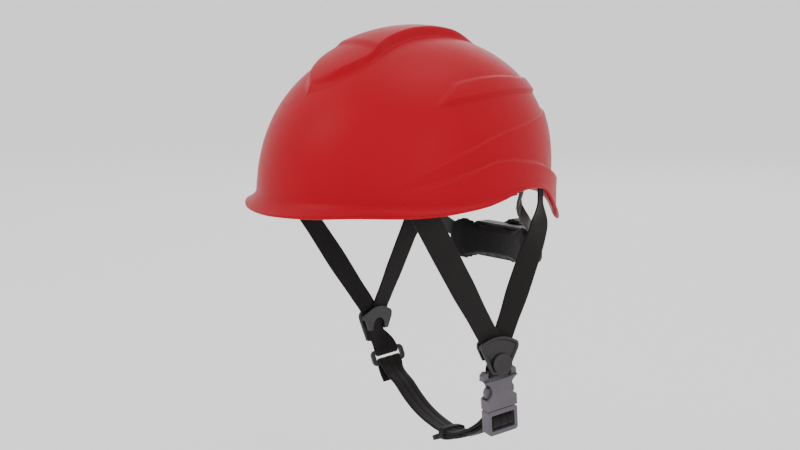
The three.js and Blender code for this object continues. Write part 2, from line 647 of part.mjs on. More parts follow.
function buckleSocket() {
  const shape = new THREE.Shape();
  const low = GAP;
  const shoulder = 9;
  const neck = SOCKET_LENGTH - 9.5;
  shape.moveTo(-socketHalf, low);
  shape.lineTo(socketHalf, low);
  shape.lineTo(socketHalf, shoulder);
  shape.quadraticCurveTo(socketHalf - 8.4, shoulder + 4.5, socketHalf - 2.6, neck);
  shape.lineTo(earHalf, neck + 3);
  shape.lineTo(earHalf, SOCKET_LENGTH - 2);
  shape.lineTo(earHalf - 2, SOCKET_LENGTH);
  shape.lineTo(slotHalf, SOCKET_LENGTH);
  shape.lineTo(slotHalf, neck + 3);
  shape.quadraticCurveTo(0, neck + 2, -slotHalf, neck + 3);
  shape.lineTo(-slotHalf, SOCKET_LENGTH);
  shape.lineTo(-earHalf + 2, SOCKET_LENGTH);
  shape.lineTo(-earHalf, SOCKET_LENGTH - 2);
  shape.lineTo(-earHalf, neck + 3);
  shape.lineTo(-socketHalf + 2.6, neck);
  shape.quadraticCurveTo(-socketHalf + 8.4, shoulder + 4.5, -socketHalf, shoulder);
  shape.lineTo(-socketHalf, low);
  const half = BUCKLE_THICKNESS / 2;
  const body = plateX(shape, -half, half);
  const thinned = cut(
    body,
    block([half - 2, -earHalf - 1, neck + 3], [half + 1, earHalf + 1, SOCKET_LENGTH + 1]),
    block([-half - 1, -earHalf - 1, neck + 3], [2 - half, earHalf + 1, SOCKET_LENGTH + 1]),
    block([-cavityDepth / 2, -cavityHalf, -1], [cavityDepth / 2, cavityHalf, neck - 2]),
    block([-cavityDepth / 2, -earHalf, shoulder], [cavityDepth / 2, earHalf, neck - 2]),
  );
  const bar = block(
    [-BAR_SIZE / 2, -slotHalf - 1, SOCKET_LENGTH - BAR_SIZE],
    [BAR_SIZE / 2, slotHalf + 1, SOCKET_LENGTH],
  );
  return joined(thinned, bar);
}

function bucklePlug() {
  const half = BUCKLE_THICKNESS / 2;
  const frame = roundedBox(socketHalf - 0.2, -PLUG_LENGTH, -GAP, 2.5);
  const window = roundedBox(slotHalf, 3.4 - PLUG_LENGTH, -4, 0.8);
  frame.holes.push(new THREE.Path(window.getPoints(3).reverse()));
  const barMiddle = -PLUG_LENGTH / 2 - 0.4;
  return joined(
    plateX(frame, -half, half),
    block([-1, -slotHalf - 1, barMiddle - 1.5], [1.8, slotHalf + 1, barMiddle + 1.5]),
    block([-2, -2, -1.5], [2, 2, 13]),
  );
}

function prong() {
  const root = cavityHalf - 3.4;
  const outline = [[root, 0.2], [root + 2.2, 0.2], [root + 2.6, 9.4], [root + 5.4, 11],
    [root + 5.6, 15], [root + 4, 18], [root + 1.6, 18.6], [root + 0.2, 16.6], [root + 0.1, 9]];
  return plateX(outlineShape(outline), -2.1, 2.1);
}

function addBuckle() {
  add("buckle_socket", buckleSocket(), FINISH.greyPlastic, buckleFrame);
  add("buckle_plug", bucklePlug(), FINISH.greyPlastic, buckleFrame);
  const rear = prong();
  add("buckle_prong_rear", rear, FINISH.greyPlastic, buckleFrame);
  add("buckle_prong_front", facingOut(rear.clone().scale(1, -1, 1)), FINISH.greyPlastic,
    buckleFrame);
}

// ---------------------------------------------------------------- square ring and chin strap

const ringFrame = new THREE.Group();
ringFrame.position.set(-legX + 6, STRAP_MEET_Y + 8, -STRAP_DROP - 31);
ringFrame.rotation.set(rad(6), rad(-20), -rad(RING_TURN));
helmet.add(ringFrame);
ringFrame.updateMatrixWorld(true);

const fromRing = (x, y, z) => ringFrame.localToWorld(vec(x, y, z));

function squareRing() {
  const outer = roundedBox(slotHalf + 3.8, -RING_HEIGHT / 2, RING_HEIGHT / 2, 4);
  const opening = roundedBox(slotHalf + 0.4, BAR_SIZE - RING_HEIGHT / 2, RING_HEIGHT / 2 - BAR_SIZE, 1);
  outer.holes.push(new THREE.Path(opening.getPoints(3).reverse()));
  return plateX(outer, -RING_THICKNESS / 2, RING_THICKNESS / 2);
}

// The middle line of the chin strap as [x, z], from the square ring to the buckle.
const CHIN_LINE = [[-62, -157.5], [-49, -166], [-37, -175.5], [-23, -184], [-7.5, -190],
  [9, -193.7], [25, -192.8], [40.5, -187], [53, -179.5]];
const TAIL_LINE = [[54, -185.5], [41, -193], [25, -198.8], [12, -199.6], [1, -202.5]];

// Sideways places follow the shell's width, and heights follow the length of the legs.
function chinPoint([x, z]) {
  const across = (x * legX) / 77;
  const share = (across + legX) / (2 * legX);
  return vec(across, STRAP_MEET_Y + 7.8 + 1.5 * share, z - (STRAP_DROP - 116));
}

function chinStrap() {
  const level = vec(0, 1, 0);
  const alongRing = fromRing(0, 1, 0).sub(fromRing(0, 0, 0));
  const alongBuckle = fromBuckle(0, 1, 0).sub(fromBuckle(0, 0, 0));
  const station = (at, across = level) => ({ at, across, width: WEBBING_WIDTH - 1 });
  const lower = BAR_SIZE / 2 - RING_HEIGHT / 2;
  const radius = RING_THICKNESS / 2 + GAP + CHIN_THICKNESS / 2 + 0.3;
  const rows = [station(fromRing(-radius + 1.6, 0, lower - 15), alongRing),
    station(fromRing(-radius - 0.6, 0, lower - 6), alongRing)];
  for (let i = 0; i <= 8; i += 1) {
    const turn = Math.PI - (i / 8) * Math.PI;
    const at = fromRing(radius * Math.cos(turn), 0, lower + radius * Math.sin(turn));
    rows.push(station(at, alongRing));
  }
  CHIN_LINE.forEach((point) => rows.push(station(chinPoint(point))));
  const barMiddle = -PLUG_LENGTH / 2 - 0.4;
  const outside = 1.8 + GAP + CHIN_THICKNESS / 2;
  const over = [[-7, -9.2], [-2.4, -6.9], [1, -6.7], [outside, -7.8], [outside + 0.2, barMiddle],
    [outside, -13.6], [1, -14.6], [-3, -14.8], [-7.5, -17], [-11.5, -20]];
  over.forEach(([x, z]) => rows.push(station(fromBuckle(x, 0, z), alongBuckle)));
  TAIL_LINE.forEach((point) => rows.push(station(chinPoint(point))));
  return ribbon(rows, CHIN_THICKNESS);
}

function strapKeeper() {
  const middle = chinPoint([12, -196.7]);
  const half = WEBBING_WIDTH / 2 + GAP;
  const outer = block([-3, -half - 1.5, -6.6], [3, half + 1.5, 6.6]);
  const opening = block([-4, -half, -5.3], [4, half, 5.3]);
  return cut(outer, opening).translate(middle.x, middle.y, middle.z);
}

function addHarness() {
  const anchors = { front: FRONT_ANCHOR_ANGLE, rear: REAR_ANCHOR_ANGLE };
  for (const [name, degrees] of Object.entries(anchors)) {
    const plate = anchorPlate(degrees);
    add(`anchor_${name}_left`, plate, FINISH.darkPlastic);
    add(`anchor_${name}_right`, mirrored(plate), FINISH.darkPlastic);
  }
  const buckleDown = fromBuckle(0, 0, -1).sub(fromBuckle(0, 0, 0));
  const buckleAlong = fromBuckle(0, 1, 0).sub(fromBuckle(0, 0, 0));
  const bar = fromBuckle(0, 0, SOCKET_LENGTH - BAR_SIZE / 2);
  add("left_strap", sideStrap(bar, buckleAlong, buckleDown), FINISH.webbing);
  const flip = (point) => vec(-point.x, point.y, point.z);
  const ringDown = fromRing(0, 0, -1).sub(fromRing(0, 0, 0));
  const ringAlong = fromRing(0, 1, 0).sub(fromRing(0, 0, 0));
  const ringBar = fromRing(0, 0, RING_HEIGHT / 2 - BAR_SIZE / 2);
  const right = sideStrap(flip(ringBar), flip(ringAlong), flip(ringDown));
  add("right_strap", mirrored(right), FINISH.webbing);
  addDividers();
  addBuckle();
  add("square_ring", squareRing(), FINISH.darkPlastic, ringFrame);
  add("chin_strap", chinStrap(), FINISH.webbing);
  add("strap_keeper", strapKeeper(), FINISH.webbing);
}

// ---------------------------------------------------------------- nape cradle
// Own frame: origin where the knob's axis meets the housing's inner face, +Y to the rear.

const napeFrame = new THREE.Group();
napeFrame.position.set(0, SHELL_REAR - 19, -NAPE_DROP);
helmet.add(napeFrame);
napeFrame.updateMatrixWorld(true);

const channelHalf = PINION_PITCH_RADIUS + 5.6;
const channelNear = 2;
const channelFar = HOUSING_DEPTH - 2.2;
const shaftRadius = 4;
const coverFar = HOUSING_DEPTH + GAP + 2.4;
const knobNear = coverFar + GAP;
const knobFar = knobNear + KNOB_DEPTH;

function scallopedCircle(radius, depth, count, pointsPerRidge = 4) {
  const total = count * pointsPerRidge;
  const points = [];
  for (let i = 0; i < total; i += 1) {
    const turn = (i / total) * 2 * Math.PI;
    const r = radius - depth * (0.5 - 0.5 * Math.cos(turn * count));
    points.push([r * Math.cos(turn), r * Math.sin(turn)]);
  }
  return points;
}

function cylinderY(radius, low, high, segments = 28) {
  return new THREE.CylinderGeometry(radius, radius, high - low, segments)
    .translate(0, (low + high) / 2, 0);
}

function ratchetHousing() {
  const half = HOUSING_HEIGHT / 2;
  const body = plateY(roundedBox(HOUSING_HALF_LENGTH, -half, half, 6), 0, HOUSING_DEPTH);
  return cut(
    body,
    block([-99, channelNear, -channelHalf], [99, channelFar, channelHalf]),
    cylinderY(PINION_PITCH_RADIUS + 2, 1, HOUSING_DEPTH + 1),
  );
}

function ratchetCover() {
  const half = HOUSING_HEIGHT / 2;
  const body = plateY(
    roundedBox(HOUSING_HALF_LENGTH, -half, half, 6),
    HOUSING_DEPTH + GAP,
    coverFar,
  );
  return cut(body, cylinderY(shaftRadius + 0.4, 0, 99));
}

function pinion() {
  const points = [];
  for (let i = 0; i < PINION_TEETH; i += 1) {
    const middle = Math.PI / 2 + (i / PINION_TEETH) * 2 * Math.PI;
    for (const [turn, radius] of [[-0.2, 4.1], [-0.09, 5.9], [0.09, 5.9], [0.2, 4.1]]) {
      points.push([radius * Math.cos(middle + turn), radius * Math.sin(middle + turn)]);
    }
  }
  const gear = plateY(outlineShape(points), channelNear + 0.3, channelFar - 0.3);
  const shaft = cylinderY(shaftRadius, channelFar - 1, knobNear + 4, 20);
  const bore = cylinderY(1.9, channelNear + 1, knobNear + 5, 16);
  return cut(joined(gear, shaft), bore);
}

function knob() {
  const rim = scallopedCircle(KNOB_RADIUS, 0.9, KNOB_RIDGES);
  const body = plateY(outlineShape(rim), knobNear, knobFar);
  return cut(
    body,
    cylinderY(KNOB_RADIUS - 3, knobNear - 1, knobNear + 4.4, 36),
    cylinderY(2, knobNear, knobFar + 1, 16),
    cylinderY(4.2, knobFar - 2.4, knobFar + 1, 20),
  );
}

function detentRing() {
  const outer = outlineShape(scallopedCircle(KNOB_RADIUS - 3.6, 0.6, 36, 2));
  const inner = new THREE.Path().absarc(0, 0, KNOB_RADIUS - 7, 0, 2 * Math.PI, true);
  outer.holes.push(inner);
  return plateY(outer, knobNear, knobNear + 2.6, 12);
}

function knobScrew() {
  return joined(
    cylinderY(1.6, channelNear + 1.6, knobFar - 1, 16),
    cylinderY(3.8, knobFar - 2.1, knobFar - 0.5, 24),
  );
}

// A toothed rack above or below the pinion; the teeth sit in the pinion's gaps at rest.
function rack(sign) {
  const pitch = (2 * Math.PI * PINION_PITCH_RADIUS) / PINION_TEETH;
  const low = PINION_PITCH_RADIUS - 0.8;
  const root = PINION_PITCH_RADIUS + 1.3;
  const high = channelHalf - GAP;
  const from = -5 * pitch;
  const to = HOUSING_HALF_LENGTH + 3;
  const points = [[from, high], [from, root]];
  for (let i = -5; i < 8; i += 1) {
    const middle = (i + 0.5) * pitch;
    points.push([middle - 0.75, root], [middle - 0.35, low], [middle + 0.35, low],
      [middle + 0.75, root]);
  }
  points.push([to, root], [to, high]);
  const turned = points.map(([x, z]) => [x, z * sign]);
  const middle = (channelNear + channelFar) / 2;
  return plateY(outlineShape(turned), middle - ARM_THICKNESS / 2, middle + ARM_THICKNESS / 2);
}

// One arm, for the wearer's left: a rack in the housing and a bowed strip to the headband end.
function napeArm(sign) {
  const toWorld = (x, y, z) => napeFrame.localToWorld(vec(x, y, z));
  const middle = (channelNear + channelFar) / 2;
  const end = domePoint(HEADBAND_END - 4, 9, HEADBAND_INSET - GAP - ARM_THICKNESS / 2);
  const start = toWorld(HOUSING_HALF_LENGTH + 1, middle, sign * 4.4);
  const bow = start.clone().lerp(end, 0.5).add(vec(1, 2, -9));
  const behindStrap = start.clone().lerp(end, 0.76).add(vec(-2.5, 0, -6));
  const curve = new THREE.CatmullRomCurve3([
    toWorld(HOUSING_HALF_LENGTH - 8, middle, sign * 5.8),
    start,
    bow,
    behindStrap,
    domePoint(HEADBAND_END + 2, 5, HEADBAND_INSET - GAP - ARM_THICKNESS / 2 - 0.4),
    end,
  ]);
  const steps = 16;
  const stations = [];
  for (let i = 0; i <= steps; i += 1) {
    const at = curve.getPoint(i / steps);
    const width = clamp(6 + i * 2, 6, ARM_WIDTH);
    const face = vec(at.x * 0.6, at.y * 0.5, 0).normalize();
    const direction = curve.getTangent(i / steps);
    stations.push({ at, across: face.cross(direction).normalize(), width });
  }
  const strip = ribbon(fixAcross(stations), ARM_THICKNESS);
  const origin = napeFrame.position;
  return joined(rack(sign).translate(origin.x, origin.y, origin.z), strip);
}

function napePad() {
  const half = HOUSING_HALF_LENGTH + 15;
  const sections = [];
  const steps = 20;
  for (let i = 0; i <= steps; i += 1) {
    const x = -half + (2 * half * i) / steps;
    const share = Math.abs(x) / half;
    const lobe = along([[0, 13.5], [0.4, 14], [0.72, 18.5], [0.92, 14], [1, 7]], share);
    const y = 0.2 - NAPE_PAD_BEND * share ** 2;
    const t = NAPE_PAD_THICKNESS * along([[0, 1], [0.8, 1], [1, 0.55]], share);
    sections.push([[y - 0.6, -lobe], [y - 0.6, lobe], [y - t, lobe - 2.5], [y - t, 2.5 - lobe]]
      .map(([depth, z]) => vec(x, depth, z)));
  }
  return loft(sections, [[1, -1], [1, 1], [0, 0.8], [0, -0.8]]);
}

function pivotPin() {
  const middle = domePoint(HEADBAND_END - 4, 9, HEADBAND_INSET - GAP - ARM_THICKNESS / 2);
  const head = new THREE.CylinderGeometry(4, 4, 1.6, 20).rotateZ(-Math.PI / 2);
  const turn = Math.atan2(middle.y / SHELL_REAR ** 2, middle.x / SHELL_HALF_WIDTH ** 2);
  const out = vec(Math.cos(turn), Math.sin(turn), 0);
  const place = middle.clone().addScaledVector(out, ARM_THICKNESS / 2 + GAP + 0.8);
  return facingOut(head.rotateZ(turn).translate(place.x, place.y, place.z));
}

function addNape() {
  add("ratchet_housing", ratchetHousing(), FINISH.darkPlastic, napeFrame);
  add("ratchet_cover", ratchetCover(), FINISH.darkPlastic, napeFrame);
  add("ratchet_detent_ring", detentRing(), FINISH.darkPlastic, napeFrame);
  add("ratchet_pinion", pinion(), FINISH.darkPlastic, napeFrame);
  add("ratchet_knob", knob(), FINISH.darkPlastic, napeFrame);
  add("knob_screw", knobScrew(), FINISH.steel, napeFrame);
  add("nape_pad", napePad(), FINISH.pad, napeFrame);
  add("nape_arm_left", napeArm(1), FINISH.darkPlastic);
  add("nape_arm_right", mirrored(napeArm(-1)), FINISH.darkPlastic);
  add("pivot_pin_left", pivotPin(), FINISH.steel);
  add("pivot_pin_right", mirrored(pivotPin()), FINISH.steel);
}

addCradle();
addHarness();
addNape();

export default helmet;
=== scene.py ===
"""Looks for the climbing helmet: fine shell, woven webbing, moulded hardware and padded parts."""

import json
import math

import bmesh
import bpy
import numpy as np
from mathutils import Matrix, Vector


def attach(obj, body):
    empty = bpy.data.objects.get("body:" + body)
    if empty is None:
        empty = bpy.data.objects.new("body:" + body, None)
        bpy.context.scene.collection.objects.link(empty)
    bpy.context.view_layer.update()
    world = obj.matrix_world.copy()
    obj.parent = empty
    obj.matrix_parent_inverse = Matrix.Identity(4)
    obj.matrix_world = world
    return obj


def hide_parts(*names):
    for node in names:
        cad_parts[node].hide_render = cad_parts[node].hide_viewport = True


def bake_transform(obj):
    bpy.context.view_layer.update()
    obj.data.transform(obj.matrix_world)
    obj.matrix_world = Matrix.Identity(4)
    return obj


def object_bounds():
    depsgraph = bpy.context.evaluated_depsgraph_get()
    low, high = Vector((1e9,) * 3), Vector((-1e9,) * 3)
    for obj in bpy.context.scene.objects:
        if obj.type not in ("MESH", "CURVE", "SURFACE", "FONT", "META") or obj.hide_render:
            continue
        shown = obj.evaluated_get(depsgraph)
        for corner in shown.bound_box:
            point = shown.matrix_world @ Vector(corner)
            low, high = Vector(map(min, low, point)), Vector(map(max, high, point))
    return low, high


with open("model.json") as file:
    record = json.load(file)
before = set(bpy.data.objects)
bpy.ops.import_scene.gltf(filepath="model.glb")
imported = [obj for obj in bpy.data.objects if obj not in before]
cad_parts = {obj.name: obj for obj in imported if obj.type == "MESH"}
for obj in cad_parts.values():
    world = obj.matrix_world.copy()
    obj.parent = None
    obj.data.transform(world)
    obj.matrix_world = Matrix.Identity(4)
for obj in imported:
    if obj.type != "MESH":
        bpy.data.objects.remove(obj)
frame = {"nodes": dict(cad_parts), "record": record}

CAD_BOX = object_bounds()
MM = 0.001

# ---------------------------------------------------------------- camera, light and floor

VIEW_AZIMUTH = 52.0
VIEW_ELEVATION = 5.0
VIEW_DISTANCE = 1.5
ORBIT_CENTRE = Vector((0, 0, 0.06))
FOCAL_MM = 87.6
AIM = Vector((-0.0047, -0.0043, -0.0277))
FLOOR_DROP = 0.075


def aim_at(thing, target):
    direction = target - thing.location
    thing.rotation_euler = direction.to_track_quat("-Z", "Y").to_euler()


def add_camera():
    azimuth = math.radians(VIEW_AZIMUTH)
    elevation = math.radians(VIEW_ELEVATION)
    back = Vector((
        math.sin(azimuth) * math.cos(elevation),
        -math.cos(azimuth) * math.cos(elevation),
        math.sin(elevation),
    ))
    data = bpy.data.cameras.new("photo_camera")
    data.sensor_width = 36
    data.lens = FOCAL_MM
    data.clip_end = 50
    camera = bpy.data.objects.new("photo_camera", data)
    bpy.context.collection.objects.link(camera)
    camera.location = ORBIT_CENTRE + back * VIEW_DISTANCE
    aim_at(camera, AIM)
    bpy.context.scene.camera = camera


def add_area_light(name, location, size, power, colour=(1, 1, 1)):
    data = bpy.data.lights.new(name, "AREA")
    data.shape = "RECTANGLE"
    data.size, data.size_y = size
    data.energy = power
    data.color = colour
    lamp = bpy.data.objects.new(name, data)
    bpy.context.collection.objects.link(lamp)
    lamp.location = location
    aim_at(lamp, Vector((0, 0, 0)))


def add_studio():
    world = bpy.data.worlds.new("studio")
    bpy.context.scene.world = world
    world.use_nodes = True
    background = world.node_tree.nodes["Background"]
    background.inputs["Color"].default_value = (1, 1, 1, 1)
    background.inputs["Strength"].default_value = 1.25
    add_area_light("key", (-0.5, -1.9, 1.7), (1.0, 1.0), 11)
    add_area_light("side", (2.2, -0.3, 0.9), (0.9, 1.4), 5)
    add_area_light("top", (0.2, 0.5, 2.2), (1.2, 1.2), 9)
    add_area_light("back", (-1.6, 1.8, 0.9), (1.2, 1.2), 4)


def add_floor():
    low = CAD_BOX[0][2] - FLOOR_DROP
    mesh = bpy.data.meshes.new("floor")
    reach = 60
    mesh.from_pydata(
        [(-reach, -reach, low), (reach, -reach, low), (reach, reach, low), (-reach, reach, low)],
        [], [(0, 1, 2, 3)],
    )
    floor = bpy.data.objects.new("floor", mesh)
    bpy.context.collection.objects.link(floor)
    paint = bpy.data.materials.new("floor_paint")
    paint.use_nodes = True
    shader = paint.node_tree.nodes["Principled BSDF"]
    shader.inputs["Base Color"].default_value = (0.93, 0.93, 0.93, 1)
    shader.inputs["Roughness"].default_value = 0.8
    mesh.materials.append(paint)


# ---------------------------------------------------------------- materials

class Paint:
    """A node material under construction; each helper returns an output socket."""

    def __init__(self, name):
        self.material = bpy.data.materials.new(name)
        self.material.use_nodes = True
        self.nodes = self.material.node_tree.nodes
        self.links = self.material.node_tree.links
        self.shader = self.nodes["Principled BSDF"]

    def put(self, kind, values=None):
        node = self.nodes.new(kind)
        for key, value in (values or {}).items():
            if key in node.inputs:
                node.inputs[key].default_value = value
            else:
                setattr(node, key, value)
        return node

    def position(self):
        return self.put("ShaderNodeTexCoord").outputs["Object"]

    def noise(self, scale, detail):
        node = self.put("ShaderNodeTexNoise", {"Scale": scale, "Detail": detail,
                                               "Roughness": 0.55})
        self.links.new(self.position(), node.inputs["Vector"])
        return node.outputs["Fac"]

    def maths(self, operation, first, second=None):
        node = self.nodes.new("ShaderNodeMath")
        node.operation = operation
        for place, value in enumerate((first, second)):
            if value is None:
                continue
            if isinstance(value, (int, float)):
                node.inputs[place].default_value = value
            else:
                self.links.new(value, node.inputs[place])
        return node.outputs[0]

    def ramp(self, factor, stops):
        node = self.nodes.new("ShaderNodeValToRGB")
        for element, (place, colour) in zip(node.color_ramp.elements, stops):
            element.position = place
            element.color = (*colour, 1)
        self.links.new(factor, node.inputs["Fac"])
        return node.outputs["Color"]

    def spread(self, factor, low, high):
        node = self.put("ShaderNodeMapRange", {"To Min": low, "To Max": high})
        self.links.new(factor, node.inputs["Value"])
        return node.outputs["Result"]

    def bump(self, height, strength, distance, below=None):
        node = self.put("ShaderNodeBump", {"Strength": strength, "Distance": distance})
        self.links.new(height, node.inputs["Height"])
        if below is not None:
            self.links.new(below, node.inputs["Normal"])
        return node.outputs["Normal"]

    def finish(self, colour, roughness, normal, constants=None):
        self.links.new(colour, self.shader.inputs["Base Color"])
        self.links.new(roughness, self.shader.inputs["Roughness"])
        self.links.new(normal, self.shader.inputs["Normal"])
        for key, value in (constants or {}).items():
            self.shader.inputs[key].default_value = value
        return self.material


def shell_paint():
    """Satin injection-moulded red, with a faint mould texture and fine handling marks."""
    paint = Paint("shell_red")
    broad = paint.noise(9, 2)
    colour = paint.ramp(broad, [(0.3, (0.34, 0.0, 0.009)), (0.7, (0.38, 0.0, 0.011))])
    fine = paint.noise(1400, 2)
    middle = paint.noise(160, 4)
    roughness = paint.spread(middle, 0.34, 0.46)
    normal = paint.bump(fine, 0.05, 0.0002)
    normal = paint.bump(middle, 0.03, 0.0004, normal)
    return paint.finish(colour, roughness, normal, {"Specular IOR Level": 0.1})


def plastic_paint(name, dark, light, roughness=(0.42, 0.58), grain=0.12):
    """Moulded plastic with a spark-eroded texture and slightly polished patches."""
    paint = Paint(name)
    colour = paint.ramp(paint.noise(45, 4), [(0.3, dark), (0.7, light)])
    texture = paint.noise(2600, 2)
    rough = paint.spread(paint.noise(90, 3), *roughness)
    normal = paint.bump(texture, grain, 0.0001)
    return paint.finish(colour, rough, normal)


def webbing_paint(name, dark, light, rib=1.1, pick=1.5):
    """Flat polyester webbing: ribs along the strap crossed by picks, from the strap's own map, with
    painted shade in the grooves between them.
    """
    paint = Paint(name)
    strap_map = paint.put("ShaderNodeUVMap", {"uv_map": "strap"}).outputs["UV"]
    split = paint.put("ShaderNodeSeparateXYZ")
    paint.links.new(strap_map, split.inputs[0])
    across, down = split.outputs[0], split.outputs[1]
    column = paint.maths("FLOOR", paint.maths("DIVIDE", across, rib))
    shift = paint.maths("MULTIPLY", paint.maths("MODULO", paint.maths("ABSOLUTE", column), 2.0), 0.5)
    row = paint.maths("ADD", paint.maths("DIVIDE", down, pick), shift)
    ribs = paint.maths("ABSOLUTE", paint.maths("SINE", paint.maths("MULTIPLY", across, math.pi / rib)))
    picks = paint.maths("ABSOLUTE", paint.maths("SINE", paint.maths("MULTIPLY", row, math.pi)))
    weave = paint.maths("MULTIPLY", paint.maths("POWER", ribs, 0.6), paint.maths("POWER", picks, 0.5))
    fibre = paint.noise(900, 2)
    # Painted shade: the colour darkens in the grooves between ribs and picks, following the weave's
    # height. The fibre noise adds random tone.
    groove_shade_and_fibre_tone = paint.maths("ADD", paint.maths("MULTIPLY", weave, 0.75), paint.maths("MULTIPLY", fibre, 0.3))
    colour = paint.ramp(groove_shade_and_fibre_tone, [(0.15, dark), (0.95, light)])
    rough = paint.spread(fibre, 0.78, 0.95)
    normal = paint.bump(weave, 0.5, 0.00025)
    normal = paint.bump(fibre, 0.2, 0.0001, normal)
    return paint.finish(colour, rough, normal,
                        {"Sheen Weight": 0.12, "Sheen Roughness": 0.5, "Specular IOR Level": 0.25})


def knit_paint(name, dark, light):
    """Brushed knit over foam."""
    paint = Paint(name)
    cell = paint.put("ShaderNodeTexVoronoi", {"Scale": 900.0})
    paint.links.new(paint.position(), cell.inputs["Vector"])
    fuzz = paint.noise(420, 4)
    colour = paint.ramp(fuzz, [(0.3, dark), (0.75, light)])
    rough = paint.spread(fuzz, 0.85, 1.0)
    normal = paint.bump(cell.outputs["Distance"], 0.4, 0.0003)
    normal = paint.bump(fuzz, 0.3, 0.0004, normal)
    return paint.finish(colour, rough, normal, {"Sheen Weight": 0.2, "Specular IOR Level": 0.2})


def steel_paint():
    paint = Paint("rivet_steel")
    brushed = paint.noise(700, 3)
    colour = paint.ramp(brushed, [(0.2, (0.46, 0.46, 0.48)), (0.8, (0.62, 0.62, 0.64))])
    rough = paint.spread(brushed, 0.22, 0.4)
    normal = paint.bump(brushed, 0.1, 0.0001)
    return paint.finish(colour, rough, normal, {"Metallic": 1.0})


PAINTS = {
    "shell_red": shell_paint(),
    "black_webbing": webbing_paint("black_webbing", (0.0016, 0.0011, 0.001), (0.008, 0.0056, 0.005)),
    "dark_plastic": plastic_paint("dark_plastic", (0.008, 0.006, 0.006), (0.012, 0.0095, 0.0095)),
    "grey_plastic": plastic_paint("grey_plastic", (0.070, 0.060, 0.073), (0.092, 0.080, 0.096)),
    "pad_fabric": knit_paint("pad_fabric", (0.003, 0.003, 0.0035), (0.009, 0.009, 0.010)),
    "steel": steel_paint(),
}

# ---------------------------------------------------------------- mesh helpers (millimetres in)


def make_piece(name, points, faces, slot, body="root", replaces=(), strap_map=None):
    mesh = bpy.data.meshes.new(name)
    mesh.from_pydata([tuple(p) for p in np.asarray(points) * MM], [], faces)
    if strap_map is not None:
        layer = mesh.uv_layers.new(name="strap")
        layer.data.foreach_set("uv", np.asarray(strap_map, np.float32).ravel())
    mesh.validate()
    for polygon in mesh.polygons:
        polygon.use_smooth = True
    piece = bpy.data.objects.new(name, mesh)
    bpy.context.collection.objects.link(piece)
    mesh.materials.append(PAINTS[slot])
    if replaces:
        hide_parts(*replaces)
    if body:
        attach(piece, body)
    return piece


def along(points, x):
    """Smooth curve through (x, value) points, the same one that the CAD uses."""
    xs = np.array([p[0] for p in points], float)
    ys = np.array([p[1] for p in points], float)
    x = np.clip(np.asarray(x, float), xs[0], xs[-1])
    i = np.clip(np.searchsorted(xs, x, side="right") - 1, 0, len(xs) - 2)
    before = np.maximum(i - 1, 0)
    after = np.minimum(i + 2, len(xs) - 1)
    span = xs[i + 1] - xs[i]
    t = (x - xs[i]) / span
    start = (ys[i + 1] - ys[before]) / (xs[i + 1] - xs[before]) * span
    end = (ys[after] - ys[i]) / (xs[after] - xs[i]) * span
    rise = ys[i + 1] - ys[i]
    return (ys[i] + t * start + t * t * (3 * rise - 2 * start - end)
            + t ** 3 * (start + end - 2 * rise))


def smooth_step(distance, width):
    t = np.clip(distance / width + 0.5, 0, 1)
    return t * t * (3 - 2 * t)


def crisp_step(share):
    """A straight ramp from 0 to 1 with only its two corners rounded."""
    t = np.clip(share, -0.2, 1.2)
    low = np.where(t < 0.2, (t + 0.2) ** 2 / 0.8, t)
    return np.where(t > 0.8, 1 - (1.2 - t) ** 2 / 0.8, low)


def unit(v):
    v = np.asarray(v, float)
    return v / np.maximum(np.linalg.norm(v, axis=-1, keepdims=True), 1e-9)


# ---------------------------------------------------------------- shell

HALF_WIDTH, FRONT, REAR, HEIGHT = 103.0, 123.3, 114.8, 120.0
POWER, SHIFT, WALL = 2.5, 8.0, 2.5

RIM_EDGE = [(-90, -9.5), (-70, -8.5), (-52, -6.5), (-26, -6.4), (-6, -1.9), (3, 2.4), (11, 6.7),
            (20, 7.7), (30, 4.4), (41, -10.8), (53, -23), (59, -23.5), (70, -15.5), (81, -9.5),
            (90, -8.5)]
BRIM_CREASE = [(-90, 2.6), (-58, 3.4), (-36, 1.6), (-22, 0.9), (-10, 2.6), (3, 7.5), (20, 12.5),
               (30, 9), (41, -5), (53, -16), (59, -16.5), (70, -9.5), (81, -4), (90, -3)]
BRIM_FLARE = [(-90, 7.5), (-40, 7.5), (-26, 5), (-6, 2.5), (20, 0.8), (56, 2), (90, 2.4)]
SKIRT_TOP = [(-40, 9), (-29, 14.3), (-8, 26), (2, 31), (20, 27.5), (31, 22.6), (50, 10.6), (64, 5),
             (90, 3)]
SKIRT_RAISE = [(-38, 0), (-18, 2), (30, 3.4), (52, 4.8), (90, 5)]
SWOOSH_TOP = [(-40, 14), (-29, 25.7), (-14, 38), (6, 51), (44, 59.8), (90, 62)]
SWOOSH_RAISE = [(-40, 0), (-24, 1.4), (90, 2)]
BAND_TOP = [(-25, 70), (-18, 80), (-12, 86.9), (14, 90), (42, 86.7), (90, 83)]
BAND_LOW = [(-25, 69), (-18, 73), (-8, 75.8), (19, 78.6), (44, 76), (90, 72)]
BAND_RAISE = [(-25, 0), (-15, 2), (90, 2)]
RIDGE_HALF = [(-95, 0), (-90, 8.5), (-84, 14.5), (-76, 20), (-66, 25), (-56, 27), (-47, 26),
              (-30, 21.2), (-8, 18), (13, 16.8), (58, 16)]
RIDGE_TOP_HALF = [(-89, 0), (-86, 5), (-80, 12.5), (-73, 17.5), (-65, 21.8), (-56, 24.2),
                  (-47, 23), (-30, 18.2), (-8, 14.6), (13, 13.6), (58, 12)]
RIDGE_RISE = [(-95, 0), (-89, 3.4), (-80, 4.6), (-50, 4.8), (-43, 6.8), (30, 6.4), (58, 0)]


def side_angle(degrees):
    angle = np.radians(degrees)
    return np.degrees(np.arctan2(np.sin(angle), np.abs(np.cos(angle))))


